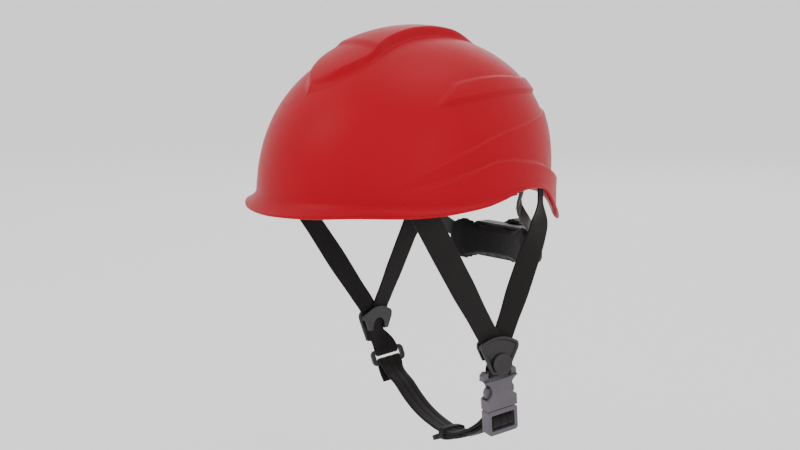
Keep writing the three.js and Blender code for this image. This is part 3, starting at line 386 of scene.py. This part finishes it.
def dome(degrees, z, inset=0.0):
    angle = np.radians(degrees)
    t = np.clip(z / (HEIGHT - inset), 0, 1)
    reach = np.sqrt(np.maximum(1 - t ** POWER, 0))
    length = np.where(np.sin(angle) < 0, FRONT, REAR)
    return np.stack([
        reach * (HALF_WIDTH - inset) * np.cos(angle),
        reach * (length - inset) * np.sin(angle) + SHIFT * t,
        np.broadcast_to(z, reach.shape) + 0.0,
    ], axis=-1)


def dome_normal(degrees, point):
    length = np.where(np.sin(np.radians(degrees)) < 0, FRONT, REAR)
    t = np.clip(point[..., 2] / HEIGHT, 0, 1)
    y = 2 * (point[..., 1] - SHIFT * t) / length ** 2
    rise = np.where(t > 0, (POWER * t ** (POWER - 1) - y * SHIFT) / HEIGHT, 0)
    return unit(np.stack([2 * point[..., 0] / HALF_WIDTH ** 2, y, rise], axis=-1))


def relief(degrees, point):
    side = side_angle(degrees)
    z = point[..., 2]
    skirt_top = along(SKIRT_TOP, side)
    swoosh_top = along(SWOOSH_TOP, side)
    skirt = along(SKIRT_RAISE, side) * smooth_step(skirt_top - z, 2.4)
    fade = np.clip((z - skirt_top) / np.maximum(swoosh_top - skirt_top, 1), 0, 1)
    swoosh = along(SWOOSH_RAISE, side) * smooth_step(swoosh_top - z, 2.2) * fade
    in_band = (smooth_step(along(BAND_TOP, side) - z, 2.4)
               * smooth_step(z - along(BAND_LOW, side), 2.0))
    band = along(BAND_RAISE, side) * in_band
    half = along(RIDGE_HALF, point[..., 1])
    top_half = np.minimum(along(RIDGE_TOP_HALF, point[..., 1]), half - 1)
    flank = crisp_step((half - np.abs(point[..., 0])) / (half - top_half))
    crown = np.where(z > 60, flank * along(RIDGE_RISE, point[..., 1]), 0)
    return skirt + swoosh + band + crown


def climb_levels(rows):
    """Heights from 0 to 1 spaced evenly along the dome's upright section."""
    t = np.sin(np.linspace(0, math.pi / 2, 2000)) ** (2 / POWER)
    reach = np.sqrt(np.maximum(1 - t ** POWER, 0)) * 110
    steps = np.hypot(np.diff(t * HEIGHT), np.diff(reach))
    length = np.concatenate([[0], np.cumsum(steps)])
    return np.interp(np.linspace(0, length[-1], rows + 1), length, t)


def shell_rows(degrees, rows, inset, relief_share, flare_rows):
    """Rows of points from the rim up to the crown for one face of the shell."""
    side = side_angle(degrees)
    rim = along(RIM_EDGE, side)
    crease = along(BRIM_CREASE, side)
    flare = along(BRIM_FLARE, side)
    level = np.stack([np.cos(np.radians(degrees)) / HALF_WIDTH,
                      np.sin(np.radians(degrees)) / np.where(np.sin(np.radians(degrees)) < 0,
                                                             FRONT, REAR),
                      np.zeros_like(degrees)], axis=-1)
    level = unit(level)
    result = []
    for share in flare_rows:
        z = crease + (rim + 2.0 - crease) * share
        base = dome(degrees, z, inset)
        proud = relief(degrees, dome(degrees, z)) * relief_share
        out = flare * share ** 1.7 + proud
        result.append(base + level * out[:, None])
    result.reverse()
    for climb in climb_levels(rows)[1:]:
        z = crease + (HEIGHT - inset - crease) * climb
        base = dome(degrees, z, inset)
        outer = dome(degrees, np.minimum(z, HEIGHT))
        proud = relief(degrees, outer) * relief_share
        result.append(base + dome_normal(degrees, base) * proud[:, None])
    return result, level, rim


def build_shell():
    stations = 480
    degrees = np.arange(stations) * 360 / stations
    shares = [0, 0.12, 0.25, 0.38, 0.5, 0.62, 0.74, 0.85, 0.93, 1.0]
    outer, level, rim = shell_rows(degrees, 150, 0.0, 1.0, shares)
    inner, _, _ = shell_rows(degrees, 60, WALL, 0.8, shares[::3] + [1.0])
    edge = outer[0]
    lip = []
    for out, z in [(-1.9, -0.35), (-1.2, -0.6), (-0.4, -0.55), (0.25, -0.1), (0.5, 0.6), (0.35, 1.4)]:
        ring = edge + level * out
        ring[:, 2] = rim + 0.6 + z
        lip.append(ring)
    rings = inner[::-1] + lip + outer
    points = np.concatenate(rings)
    faces = []
    for i in range(len(rings) - 1):
        for j in range(stations):
            k = (j + 1) % stations
            a, b = i * stations + j, i * stations + k
            faces.append((a, b, b + stations, a + stations))
    shell = make_piece("helmet_shell", points, faces, "shell_red", replaces=["shell"])
    weld(shell, 0.01)
    return shell


def weld(piece, distance_mm):
    work = bmesh.new()
    work.from_mesh(piece.data)
    bmesh.ops.remove_doubles(work, verts=work.verts, dist=distance_mm * MM)
    bmesh.ops.recalc_face_normals(work, faces=work.faces)
    work.to_mesh(piece.data)
    work.free()


# ---------------------------------------------------------------- webbing

WEBBING_WIDTH, WEBBING_THICKNESS, CHIN_THICKNESS = 20.0, 1.3, 2.2
LEG_X, MEET_Y, STRAP_DROP, TURN = 77.0, 26.2, 116.0, 12.0
KEY_INSET, KEY_THICKNESS = 3.5, 3.5
BAR_SIZE, RING_HEIGHT, RING_THICKNESS, SOCKET_LENGTH, PLUG_LENGTH = 3.0, 13.0, 3.2, 31.5, 20.5


def frame_at(x, y, z, turn_x=0, turn_y=0, turn_z=0):
    turns = [Matrix.Rotation(math.radians(angle), 4, axis)
             for angle, axis in ((turn_x, "X"), (turn_y, "Y"), (turn_z, "Z"))]
    return np.array(Matrix.Translation((x, y, z)) @ turns[0] @ turns[1] @ turns[2])


DIVIDER = frame_at(LEG_X, MEET_Y, -STRAP_DROP - 4, 0, 0, -TURN)
BUCKLE = frame_at(LEG_X - 6, MEET_Y + 7.3, -STRAP_DROP - 47, 9.8, 7, -7)
RING = frame_at(-LEG_X + 6, MEET_Y + 8, -STRAP_DROP - 31, 6, -20, -14)


def placed(frame_matrix, x, y, z):
    return frame_matrix[:3, :3] @ np.array([x, y, z], float) + frame_matrix[:3, 3]


def flipped(point):
    return np.asarray(point) * [-1, 1, 1]


def hermite_run(points, step):
    """Evenly stepped smooth curve through points, with each sample's place among them."""
    points = np.asarray(points, float)
    gaps = np.maximum(np.linalg.norm(np.diff(points, axis=0), axis=1), 1e-6)
    knots = np.concatenate([[0], np.cumsum(gaps)])
    slopes = np.diff(points, axis=0) / gaps[:, None]
    tangents = np.empty_like(points)
    tangents[0], tangents[-1] = slopes[0], slopes[-1]
    share = (gaps[1:] / (gaps[1:] + gaps[:-1]))[:, None]
    tangents[1:-1] = slopes[:-1] * share + slopes[1:] * (1 - share)
    count = max(int(knots[-1] / step), 2)
    places = np.linspace(0, knots[-1], count + 1)
    i = np.clip(np.searchsorted(knots, places, side="right") - 1, 0, len(gaps) - 1)
    t = ((places - knots[i]) / gaps[i])[:, None]
    a, b = points[i], points[i + 1]
    m, n = tangents[i] * gaps[i][:, None], tangents[i + 1] * gaps[i][:, None]
    run = ((2 * t ** 3 - 3 * t ** 2 + 1) * a + (t ** 3 - 2 * t ** 2 + t) * m
           + (3 * t ** 2 - 2 * t ** 3) * b + (t ** 3 - t ** 2) * n)
    return run, i + t[:, 0], places


def strap_lines(stations, step=1.6):
    """Middle, across and facing directions, width and distance at each step along a strap."""
    middle, place, distance = hermite_run([row[0] for row in stations], step)
    across = np.array([unit(row[1]) for row in stations])
    for i in range(1, len(across)):
        if across[i] @ across[i - 1] < 0:
            across[i] = -across[i]
    low = np.minimum(place.astype(int), len(stations) - 2)
    share = (place - low)[:, None]
    eased = share * share * (3 - 2 * share)
    side = across[low] * (1 - eased) + across[low + 1] * eased
    widths = np.array([row[2] for row in stations], float)
    width = widths[low] * (1 - eased[:, 0]) + widths[low + 1] * eased[:, 0]
    forward = unit(np.gradient(middle, axis=0))
    side = unit(side - forward * np.sum(side * forward, axis=1, keepdims=True))
    face = np.cross(forward, side)
    return middle, side, face, width, distance


def webbing_section(thickness, plies):
    """Half-widths and heights round a strap's section: soft edges, a groove between plies."""
    half = thickness / 2
    top = [(-1.0, 0.0, 0.35), (-1.0, 0.12, 0.72), (-1.0, 0.42, 0.95), (-1.0, 0.95, 1.0)]
    columns = [(-0.66, 0, 0.97), (-0.33, 0, 1.0), (0.0, 0, 0.97), (0.33, 0, 1.0), (0.66, 0, 0.97)]
    if plies == 2:
        seam = [(-0.43, 0, 1.0), (-0.34, 0, 0.72), (-0.25, 0, 1.0)]
        columns = [(-0.7, 0, 1.0), *seam, (0.0, 0, 1.0),
                   *((-s, inset, h) for s, inset, h in reversed(seam)), (0.7, 0, 1.0)]
    right = [(-s, inset, h) for s, inset, h in reversed(top)]
    over = [(s, inset, h * half) for s, inset, h in top + columns + right]
    under = [(s, inset, -h) for s, inset, h in reversed(over)]
    if plies == 2:
        groove = 0.5
        return over + [(1.0, groove, 0.0)] + under + [(-1.0, groove, 0.0)]
    return over + under


def strap_piece(name, stations, thickness, node, body="root", plies=1, step=1.6):
    """A flat webbing ribbon swept along its stations, mapped in millimetres."""
    middle, side, face, width, distance = strap_lines(stations, step)
    section = webbing_section(thickness, plies)
    points, strap_map, faces = [], [], []
    count = len(section)
    for i in range(len(middle)):
        for share, inset, height in section:
            reach = share * (width[i] / 2) - math.copysign(inset, share)
            points.append(middle[i] + side[i] * reach + face[i] * height)
    for i in range(len(middle) - 1):
        for j in range(count):
            k = (j + 1) % count
            corners = [(i, j), (i, k), (i + 1, k), (i + 1, j)]
            faces.append(tuple(r * count + c for r, c in corners))
            for r, c in corners:
                share, inset, height = section[c]
                reach = share * (width[r] / 2) - math.copysign(inset, share)
                strap_map.append((reach + height * 0.5, distance[r]))
    for row, order in ((0, range(count)), (len(middle) - 1, reversed(range(count)))):
        faces.append(tuple(row * count + c for c in order))
        strap_map.extend((section[c][0], distance[row]) for c in range(count))
    piece = make_piece(name, points, faces, "black_webbing", body=body, replaces=node,
                       strap_map=strap_map)
    set_normals(piece)
    return piece


def set_normals(piece):
    work = bmesh.new()
    work.from_mesh(piece.data)
    bmesh.ops.recalc_face_normals(work, faces=work.faces)
    work.to_mesh(piece.data)
    work.free()


def dome_at(degrees, z, inset):
    return dome(np.array([float(degrees)]), np.array([float(z)]), inset)[0]


def wall_normal(degrees):
    flat = dome_at(degrees, 0, 0)
    return dome_normal(np.array([float(degrees)]), flat[None, :])[0]


def side_strap(bar, bar_along, bar_down):
    """Stations down the front leg, round the bar and up the rear leg, on the wearer's left."""
    front_angle, rear_angle = -35.0, 41.5
    anchor_low, anchor_height = 14.0, 24.0
    divider_height, squeezed = WEBBING_WIDTH + 9, WEBBING_WIDTH - 3
    layer_offset = WEBBING_THICKNESS / 2 + 0.25
    inset = WALL + 1 + 1.6 + 0.3 + WEBBING_THICKNESS / 2
    wall = inset + 2 * WEBBING_WIDTH ** 2 / (4 * HALF_WIDTH)
    outward = DIVIDER[:3, 0]
    divider_along = DIVIDER[:3, 1]

    def leg(held, bow, spread, layer, towards, turned):
        mouth = placed(DIVIDER, layer, spread, divider_height / 2 + 1)
        low = placed(DIVIDER, layer, spread * 0.4, 6)
        top_across = unit(np.cross(towards, held[1] - held[0]))
        low_across = unit(np.cross(outward, low - mouth))
        rows = [(at, top_across, WEBBING_WIDTH) for at in held]
        for share in (0, 0.3, 0.6, 0.88):
            turn = min(turned + share, 1)
            across = unit(top_across * (1 - turn) + low_across * turn)
            width = squeezed + 0.6 if share > 0.8 else WEBBING_WIDTH
            rows.append((bow * (1 - share) + mouth * share, across, width))
        rows.append((mouth, low_across, squeezed + 0.3))
        rows.append((low, low_across, squeezed))
        rows.append((placed(DIVIDER, layer, 0, -6), divider_along, squeezed))
        return rows

    high_end = anchor_low + anchor_height * 0.62
    front = leg([dome_at(front_angle - 2, high_end, wall - 0.1),
                 dome_at(front_angle, anchor_low + 5, wall - 0.3)],
                dome_at(front_angle + 7.2, -2, wall + 0.6), -9.4, layer_offset,
                wall_normal(front_angle), 0.3)
    rear = leg([dome_at(rear_angle + 1, high_end, wall - 0.7),
                dome_at(rear_angle, anchor_low - 2, wall - 1.1),
                dome_at(rear_angle - 1, -6, wall - 2.2)],
               np.array([LEG_X - 2.4, MEET_Y + 42.5, -27]), 5.6, -layer_offset,
               wall_normal(rear_angle), 0.65)
    radius = BAR_SIZE * 0.8 + 0.3 + WEBBING_THICKNESS / 2
    wrap = math.radians(230)
    face = unit(np.cross(bar_along, bar_down))
    if face[0] < 0:
        face = -face
    loop = []
    for i in range(11):
        turn = i / 10 * wrap - (wrap - math.pi) / 2
        at = bar + face * radius * math.cos(turn) + bar_down * radius * math.sin(turn)
        loop.append((at, bar_along, squeezed + 1.2))
    return front + loop + rear[::-1]


def build_side_straps():
    bar = placed(BUCKLE, 0, 0, SOCKET_LENGTH - BAR_SIZE / 2)
    left = side_strap(bar, BUCKLE[:3, 1], -BUCKLE[:3, 2])
    strap_piece("left_webbing", left, WEBBING_THICKNESS, ["left_strap"])
    bar = flipped(placed(RING, 0, 0, RING_HEIGHT / 2 - BAR_SIZE / 2))
    right = side_strap(bar, flipped(RING[:3, 1]), flipped(-RING[:3, 2]))
    right = [(flipped(at), flipped(across), width) for at, across, width in right]
    strap_piece("right_webbing", right, WEBBING_THICKNESS, ["right_strap"])


CHIN_LINE = [(-62, -157.5), (-49, -166), (-37, -175.5), (-23, -184), (-7.5, -190), (9, -193.7),
             (25, -192.8), (40.5, -187), (53, -179.5)]
TAIL_LINE = [(54, -184.1), (41, -190.2), (25, -196.0), (12, -196.9), (1, -200.2)]


def chin_point(x, z):
    share = (x + LEG_X) / (2 * LEG_X)
    return np.array([x, MEET_Y + 7.8 + 1.5 * share, z])


def chin_stations():
    width = WEBBING_WIDTH - 1
    ring_along, buckle_along, level = RING[:3, 1], BUCKLE[:3, 1], np.array([0.0, 1, 0])
    lower = BAR_SIZE / 2 - RING_HEIGHT / 2
    radius = RING_THICKNESS / 2 + 0.3 + CHIN_THICKNESS / 2 + 0.3
    rows = [(placed(RING, -radius + 1.6, 0, lower - 15), ring_along, width),
            (placed(RING, -radius - 0.6, 0, lower - 6), ring_along, width)]
    for i in range(9):
        turn = math.pi - i / 8 * math.pi
        at = placed(RING, radius * math.cos(turn), 0, lower + radius * math.sin(turn))
        rows.append((at, ring_along, width))
    rows += [(chin_point(x, z), level, width) for x, z in CHIN_LINE]
    middle = -PLUG_LENGTH / 2 - 0.4
    outside = 1.8 + 0.3 + CHIN_THICKNESS / 2
    over = [(-7, -9.2), (-2.4, -6.9), (1, -6.7), (outside, -7.8), (outside + 0.2, middle),
            (outside, -13.6), (1, -14.6), (-3, -14.8), (-7.5, -17), (-11.5, -20)]
    rows += [(placed(BUCKLE, x, 0, z), buckle_along, width) for x, z in over]
    rows += [(chin_point(x, z), level, width) for x, z in TAIL_LINE]
    return rows


def bend_with_plug(piece):
    """Bakes the piece's placement into its mesh."""
    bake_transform(piece)


def build_chin_strap():
    stations = chin_stations()
    strap = strap_piece("chin_webbing", stations, CHIN_THICKNESS, ["chin_strap"], body=None,
                        plies=2)
    bend_with_plug(strap)
    middle, side, face, width, _ = strap_lines(stations, 0.8)
    points, faces = [], []
    for offset in (-0.56, 0.56):
        for out in (-1, 1):
            start = 2
            while start + 4 < len(middle):
                add_stitch(points, faces, middle, side, face, width, offset, out, start)
                start += 5
    thread = make_piece("chin_stitching", points, faces, "black_webbing", body=None)
    thread.data.uv_layers.new(name="strap")
    bend_with_plug(thread)


def build_tail_hem():
    """The tail's end, folded back on itself and sewn, drawn as a short two-ply piece thicker than the
    strap, with no stitches.
    """
    along_tail = [(4.6, -198.9), (3.4, -199.5), (1.2, -200.5), (-1.0, -201.4)]
    stations = [(chin_point(x, z), np.array([0, 1.0, 0]), width)
                for (x, z), width in zip(along_tail, (17.6, 18.6, 18.8, 18.2))]
    strap_piece("tail_hem", stations, 4.0, ["chin_strap"], plies=2, step=0.7)


def add_stitch(points, faces, middle, side, face, width, offset, out, start):
    """One thread stitch, a low rounded bead lying on the strap's face."""
    first = len(points)
    lifts = [0.0, 0.22, 0.28, 0.22, 0.0]
    for j, lift in enumerate(lifts):
        i = min(start + j, len(middle) - 1)
        at = middle[i] + side[i] * width[i] / 2 * offset + face[i] * out * CHIN_THICKNESS * 0.47
        wide = 0.1 if j in (0, 4) else 0.3
        points.append(at - side[i] * wide)
        points.append(at + face[i] * out * lift)
        points.append(at + side[i] * wide)
    for j in range(len(lifts) - 1):
        a = first + j * 3
        faces.append((a, a + 1, a + 4, a + 3))
        faces.append((a + 1, a + 2, a + 5, a + 4))
        faces.append((a, a + 3, a + 5, a + 2))


def build_keeper():
    """An elastic loop holding the tail against the strap."""
    centre = chin_point(12, -195.2)
    half_y, half_z = WEBBING_WIDTH / 2 + 0.6, 4.0
    corner = 1.6
    stations = []
    corners = [(half_y, half_z, 0), (-half_y, half_z, 90), (-half_y, -half_z, 180),
               (half_y, -half_z, 270)]
    for y, z, start in corners:
        for step in range(5):
            angle = math.radians(start + step * 22.5)
            inner_y, inner_z = y - math.copysign(corner, y), z - math.copysign(corner, z)
            at = centre + [0, inner_y + corner * math.cos(angle), inner_z + corner * math.sin(angle)]
            stations.append((at, np.array([1.0, 0, 0]), 6.0))
    stations.append(stations[0])
    strap_piece("keeper_loop", stations, 1.4, ["strap_keeper"], step=0.8)


def build_crown_straps():
    pitch = WEBBING_THICKNESS + 0.4
    foot, crown = 17.0, 92.0
    inset = KEY_INSET + KEY_THICKNESS + WEBBING_THICKNESS + 2
    names = {"crown_strap_across": 2.0, "crown_strap_left_front": -58.0,
             "crown_strap_right_front": -122.0}
    for layer, (node, degrees) in enumerate(names.items()):
        foot_length = FRONT if math.sin(math.radians(degrees)) < 0 else REAR
        across = unit([-HALF_WIDTH * math.sin(math.radians(degrees)),
                       foot_length * math.cos(math.radians(degrees)), 0])
        stations = []
        for i in range(23):
            turn = i / 22 * math.pi
            heading = math.radians(degrees if turn < math.pi / 2 else degrees + 180)
            length = FRONT if math.sin(heading) < 0 else REAR
            reach = abs(math.cos(turn))
            z = foot + (crown - layer * pitch - foot) * math.sin(turn) ** (2 / POWER)
            at = np.array([reach * (HALF_WIDTH - inset) * math.cos(heading),
                           reach * (length - inset) * math.sin(heading) + SHIFT * z / HEIGHT, z])
            stations.append((at, across, WEBBING_WIDTH))
        strap_piece(node.replace("strap", "webbing"), stations, WEBBING_THICKNESS, [node], step=3)


# ---------------------------------------------------------------- moulded hardware

def divider_outline(count):
    """Points round the shield-shaped divider, as [along its width, up], from its own frame."""
    width, height = WEBBING_WIDTH + 13, WEBBING_WIDTH + 9
    half = width / 2
    corners = [((-half * 0.42, -height * 0.5), (0, -height * 0.56), (half * 0.42, -height * 0.5)),
               (None, (half * 0.62, -height * 0.25), (half * 0.96, height * 0.16)),
               (None, (half * 1.04, height * 0.34), (half * 0.8, height * 0.38)),
               (None, (0, height * 0.62), (-half * 0.8, height * 0.38)),
               (None, (-half * 1.04, height * 0.34), (-half * 0.96, height * 0.16)),
               (None, (-half * 0.62, -height * 0.25), (-half * 0.42, -height * 0.5))]
    points = []
    start = corners[0][0]
    for _, control, end in corners:
        for i in range(24):
            t = i / 24
            points.append([(1 - t) ** 2 * start[k] + 2 * t * (1 - t) * control[k] + t * t * end[k]
                           for k in (0, 1)])
        start = end
    points = np.array(points)
    closed = np.vstack([points, points[:1]])
    length = np.concatenate([[0], np.cumsum(np.linalg.norm(np.diff(closed, axis=0), axis=1))])
    places = np.arange(count) * length[-1] / count
    return np.stack([np.interp(places, length, closed[:, k]) for k in (0, 1)], axis=1)


def drawn_in(outline, inset):
    """The outline moved inwards by inset, smoothed where it turns tightly."""
    ahead, behind = np.roll(outline, -1, axis=0), np.roll(outline, 1, axis=0)
    tangent = unit(ahead - behind)
    inward = np.stack([-tangent[:, 1], tangent[:, 0]], axis=1)
    moved = outline + inward * inset
    for _ in range(int(inset * 3)):
        moved = (np.roll(moved, 1, axis=0) + 2 * moved + np.roll(moved, -1, axis=0)) / 4
    return moved


def to_world(frame_matrix, points, side):
    world = np.asarray(points) @ frame_matrix[:3, :3].T + frame_matrix[:3, 3]
    return world * [side, 1, 1]


def rings_to_faces(ring_count, size, first=0):
    """Quads between closed rings of points, with a cap on the first and last ring."""
    faces = []
    for i in range(ring_count - 1):
        for j in range(size):
            k = (j + 1) % size
            a = first + i * size
            faces.append((a + j, a + k, a + size + k, a + size + j))
    faces.append(tuple(first + j for j in reversed(range(size))))
    faces.append(tuple(first + (ring_count - 1) * size + j for j in range(size)))
    return faces


def build_divider_covers():
    """Shield-shaped covers with a thick raised lip, a recessed middle and a round boss."""
    mouth = 2 * WEBBING_THICKNESS + 2 * 0.3 + 0.8
    inner, plate = mouth / 2, 2.0
    outline = divider_outline(120)
    profile = [(0.35, 0.0), (0.0, 0.4), (0.0, plate - 0.3), (0.2, plate + 0.5), (0.7, plate + 1.0),
               (1.4, plate + 1.15), (2.1, plate + 0.95), (2.6, plate + 0.2), (2.9, plate - 0.6),
               (3.2, plate - 0.8)]
    for side, name in ((1, "left"), (-1, "right")):
        points = []
        for inset, height in profile:
            ring = drawn_in(outline, inset)
            points.extend([inner + height, y, z] for y, z in ring)
        faces = rings_to_faces(len(profile), len(outline))
        boss = [(8.3, plate - 0.7), (8.25, plate + 0.9), (8.0, plate + 1.35), (7.4, plate + 1.6),
                (6.4, plate + 1.6), (6.0, plate + 1.35), (5.6, plate + 1.2), (2.4, plate + 1.25),
                (0.4, plate + 1.3)]
        first = len(points)
        for radius, height in boss:
            for i in range(48):
                angle = i / 48 * 2 * math.pi
                points.append([inner + height, 2 + radius * math.cos(angle),
                               -6.96 + radius * math.sin(angle)])
        faces += rings_to_faces(len(boss), 48, first=first)
        for sign in (-1, 1):
            faces += add_post(points, inner, sign)
        world = to_world(DIVIDER, points, side)
        cover = make_piece(f"{name}_divider_shield", world, faces, "dark_plastic",
                           replaces=[f"{name}_divider_cover"])
        set_normals(cover)


def add_post(points, inner, sign):
    """A rounded post joining the cover to its back plate at one edge of the divider."""
    first = len(points)
    for x, radius in ((-inner + 0.35, 0.9), (-inner + 0.6, 1.15), (inner + 0.6, 1.2)):
        for i in range(16):
            angle = i / 16 * 2 * math.pi
            points.append([x, sign * 14.9 + 0.6 * radius * math.cos(angle),
                           6 + 1.8 * radius * math.sin(angle)])
    return rings_to_faces(3, 16, first=first)


def lathe(profile, place, axis, name, slot):
    """A turned piece: [distance along the axis, radius] from a place on the axis."""
    segments = 36
    axis = unit(axis)
    helper = np.array([0, 0, 1.0]) if abs(axis[2]) < 0.9 else np.array([1.0, 0, 0])
    u = unit(np.cross(axis, helper))
    v = np.cross(axis, u)
    points = []
    for distance, radius in profile:
        for i in range(segments):
            angle = i / segments * 2 * math.pi
            points.append(place + axis * distance
                          + (u * math.cos(angle) + v * math.sin(angle)) * radius)
    piece = make_piece(name, points, rings_to_faces(len(profile), segments), slot)
    set_normals(piece)
    return piece


def build_anchor_rivets():
    """Domed rivets through each strap end and its anchor plate."""
    dome_head = [(0.0, 3.4), (0.5, 3.35), (0.95, 2.9), (1.25, 2.1), (1.4, 1.1), (1.42, 0.2)]
    for angle, name in ((-35.8, "front"), (42.0, "rear")):
        at = dome_at(angle, 24.5, 10.1)
        inward = -wall_normal(angle)
        for side, which in ((1, "left"), (-1, "right")):
            lathe(dome_head, at * [side, 1, 1], inward * [side, 1, 1],
                  f"anchor_rivet_{name}_{which}", "steel")


def copied_mesh(node, bevel):
    """The node's own shape as a new mesh in the row frame, with its edges rounded."""
    source = frame["nodes"][node]
    mesh = source.data.copy()
    mesh.transform(source.matrix_world)
    mesh.materials.clear()
    piece = bpy.data.objects.new(f"{node}_moulded", mesh)
    bpy.context.collection.objects.link(piece)
    weld(piece, 0.01)
    soften = piece.modifiers.new("edges", "BEVEL")
    soften.width = bevel * MM
    soften.segments = 2
    soften.limit_method = "ANGLE"
    soften.angle_limit = math.radians(40)
    apply_modifiers(piece)
    return piece


def apply_modifiers(piece):
    graph = bpy.context.evaluated_depsgraph_get()
    shaped = bpy.data.meshes.new_from_object(piece.evaluated_get(graph))
    piece.modifiers.clear()
    piece.data = shaped


def build_nape_arms():
    """Each arm as a copy of its CAD shape with rounded edges, in dark plastic, baked in place of the CAD
    arm.
    """
    for side, name in ((1, "left"), (-1, "right")):
        arm = copied_mesh(f"nape_arm_{name}", 0.4)
        arm.data.materials.append(PAINTS["dark_plastic"])
        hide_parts(f"nape_arm_{name}")
        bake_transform(arm)


# ---------------------------------------------------------------- pads

CLOTH_PRESSURE = 4
CLOTH_STEPS = 20
PAD_SHRINK = -0.55

def stuffed(node, name, voxel, cap):
    """A foam pad in a knit cover, swollen from the shape of its CAD solid."""
    piece = copied_mesh(node, 0.8)
    piece.name = name
    push_along_normals(piece, PAD_SHRINK)
    remesh = piece.modifiers.new("voxels", "REMESH")
    remesh.mode = "VOXEL"
    remesh.voxel_size = voxel * MM
    apply_modifiers(piece)
    rest = coordinates(piece)
    cloth = piece.modifiers.new("swell", "CLOTH")
    cloth.settings.use_pressure = True
    cloth.settings.uniform_pressure_force = CLOTH_PRESSURE
    cloth.settings.effector_weights.gravity = 0
    cloth.settings.quality = 5
    for step in range(CLOTH_STEPS):
        bpy.context.scene.frame_set(step + 1)
    apply_modifiers(piece)
    bpy.context.scene.frame_set(1)
    moved = coordinates(piece) - rest
    length = np.linalg.norm(moved, axis=1, keepdims=True)
    capped = rest + moved * np.minimum(1, cap / np.maximum(length, 1e-9))
    piece.data.vertices.foreach_set("co", (capped * MM).ravel())
    piece.data.update()
    smoother = piece.modifiers.new("finer", "SUBSURF")
    smoother.levels = smoother.render_levels = 1
    apply_modifiers(piece)
    for polygon in piece.data.polygons:
        polygon.use_smooth = True
    piece.data.materials.clear()
    piece.data.materials.append(PAINTS["pad_fabric"])
    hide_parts(node)
    return piece


def coordinates(piece):
    flat = np.empty(len(piece.data.vertices) * 3)
    piece.data.vertices.foreach_get("co", flat)
    return flat.reshape(-1, 3) / MM


def push_along_normals(piece, distance, where=None):
    here = coordinates(piece)
    normals = np.array([v.normal for v in piece.data.vertices])
    amount = distance if where is None else (distance * where(here, normals))[:, None]
    piece.data.vertices.foreach_set("co", ((here + normals * amount) * MM).ravel())
    piece.data.update()


def channel(value, half_width):
    return np.exp(-(value / half_width) ** 2)


def build_pads():
    brow = stuffed("brow_pad", "brow_cushion", 1.6, 0.9)

    def brow_channels(here, normals):
        angle = np.degrees(np.arctan2(here[:, 1], here[:, 0]))
        facing = np.clip(np.sum(normals[:, :2] * -unit(here[:, :2]), axis=1), 0, 1)
        spokes = sum(channel((angle - a) * 1.6, 1.1) for a in np.arange(-146, -33, 9.0))
        hem = channel(here[:, 2] - 4.3, 0.7) + channel(here[:, 2] - 23.6, 0.7)
        return facing * np.clip(spokes + hem, 0, 1)

    push_along_normals(brow, -0.8, brow_channels)
    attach(brow, "root")

    crown = stuffed("crown_pad", "crown_cushion", 1.8, 1.0)

    def crown_channels(here, normals):
        radius = np.hypot(here[:, 0], here[:, 1] - SHIFT)
        angle = np.degrees(np.arctan2(here[:, 1] - SHIFT, here[:, 0]))
        rings = channel(radius - 24.8, 0.7) + channel(radius - 12, 0.8)
        spokes = channel(((angle % 60) - 30) / 60 * radius, 0.8) * (radius > 12)
        return np.clip(-normals[:, 2], 0, 1) * np.clip(rings + spokes, 0, 1)

    push_along_normals(crown, -0.9, crown_channels)
    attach(crown, "root")

    nape = stuffed("nape_pad", "nape_cushion", 1.6, 0.9)

    def nape_channels(here, normals):
        across = np.abs(here[:, 0])
        tall = np.interp(across / 51, [0, 0.4, 0.72, 0.92, 1], [13.5, 14, 18.5, 14, 7])
        edge = np.minimum((tall - np.abs(here[:, 2] + 50)), (51 - across))
        return np.clip(-normals[:, 1], 0, 1) * channel(edge - 3.2, 0.7)

    push_along_normals(nape, -0.8, nape_channels)
    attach(nape, "nape_cradle")


# ---------------------------------------------------------------- CAD pieces that stay

def dress(node, slot, bevel):
    """Gives a CAD node its real finish and softens its edges."""
    thing = frame["nodes"][node]
    thing.data.materials.clear()
    thing.data.materials.append(PAINTS[slot])
    soften = thing.modifiers.new("moulded_edges", "BEVEL")
    soften.width = bevel * MM
    soften.segments = 2
    soften.limit_method = "ANGLE"
    soften.angle_limit = math.radians(35)


add_camera()
add_studio()
add_floor()
build_shell()
build_side_straps()
build_chin_strap()
build_tail_hem()
build_keeper()
build_crown_straps()
build_divider_covers()
build_anchor_rivets()
build_nape_arms()
build_pads()

BUILT = {"shell", "left_strap", "right_strap", "chin_strap", "strap_keeper", "crown_strap_across",
         "crown_strap_left_front", "crown_strap_right_front", "left_divider_cover",
         "right_divider_cover", "nape_arm_left", "nape_arm_right", "brow_pad", "crown_pad",
         "nape_pad"}
THICK_EDGED = {"buckle_socket", "buckle_plug", "square_ring"}
THICK_EDGE, THIN_EDGE = 0.7, 0.35
for row in frame["record"]["subparts"]:
    if row["node"] not in BUILT:
        edge = THICK_EDGE if row["node"] in THICK_EDGED else THIN_EDGE
        dress(row["node"], row["material_slot"], edge)
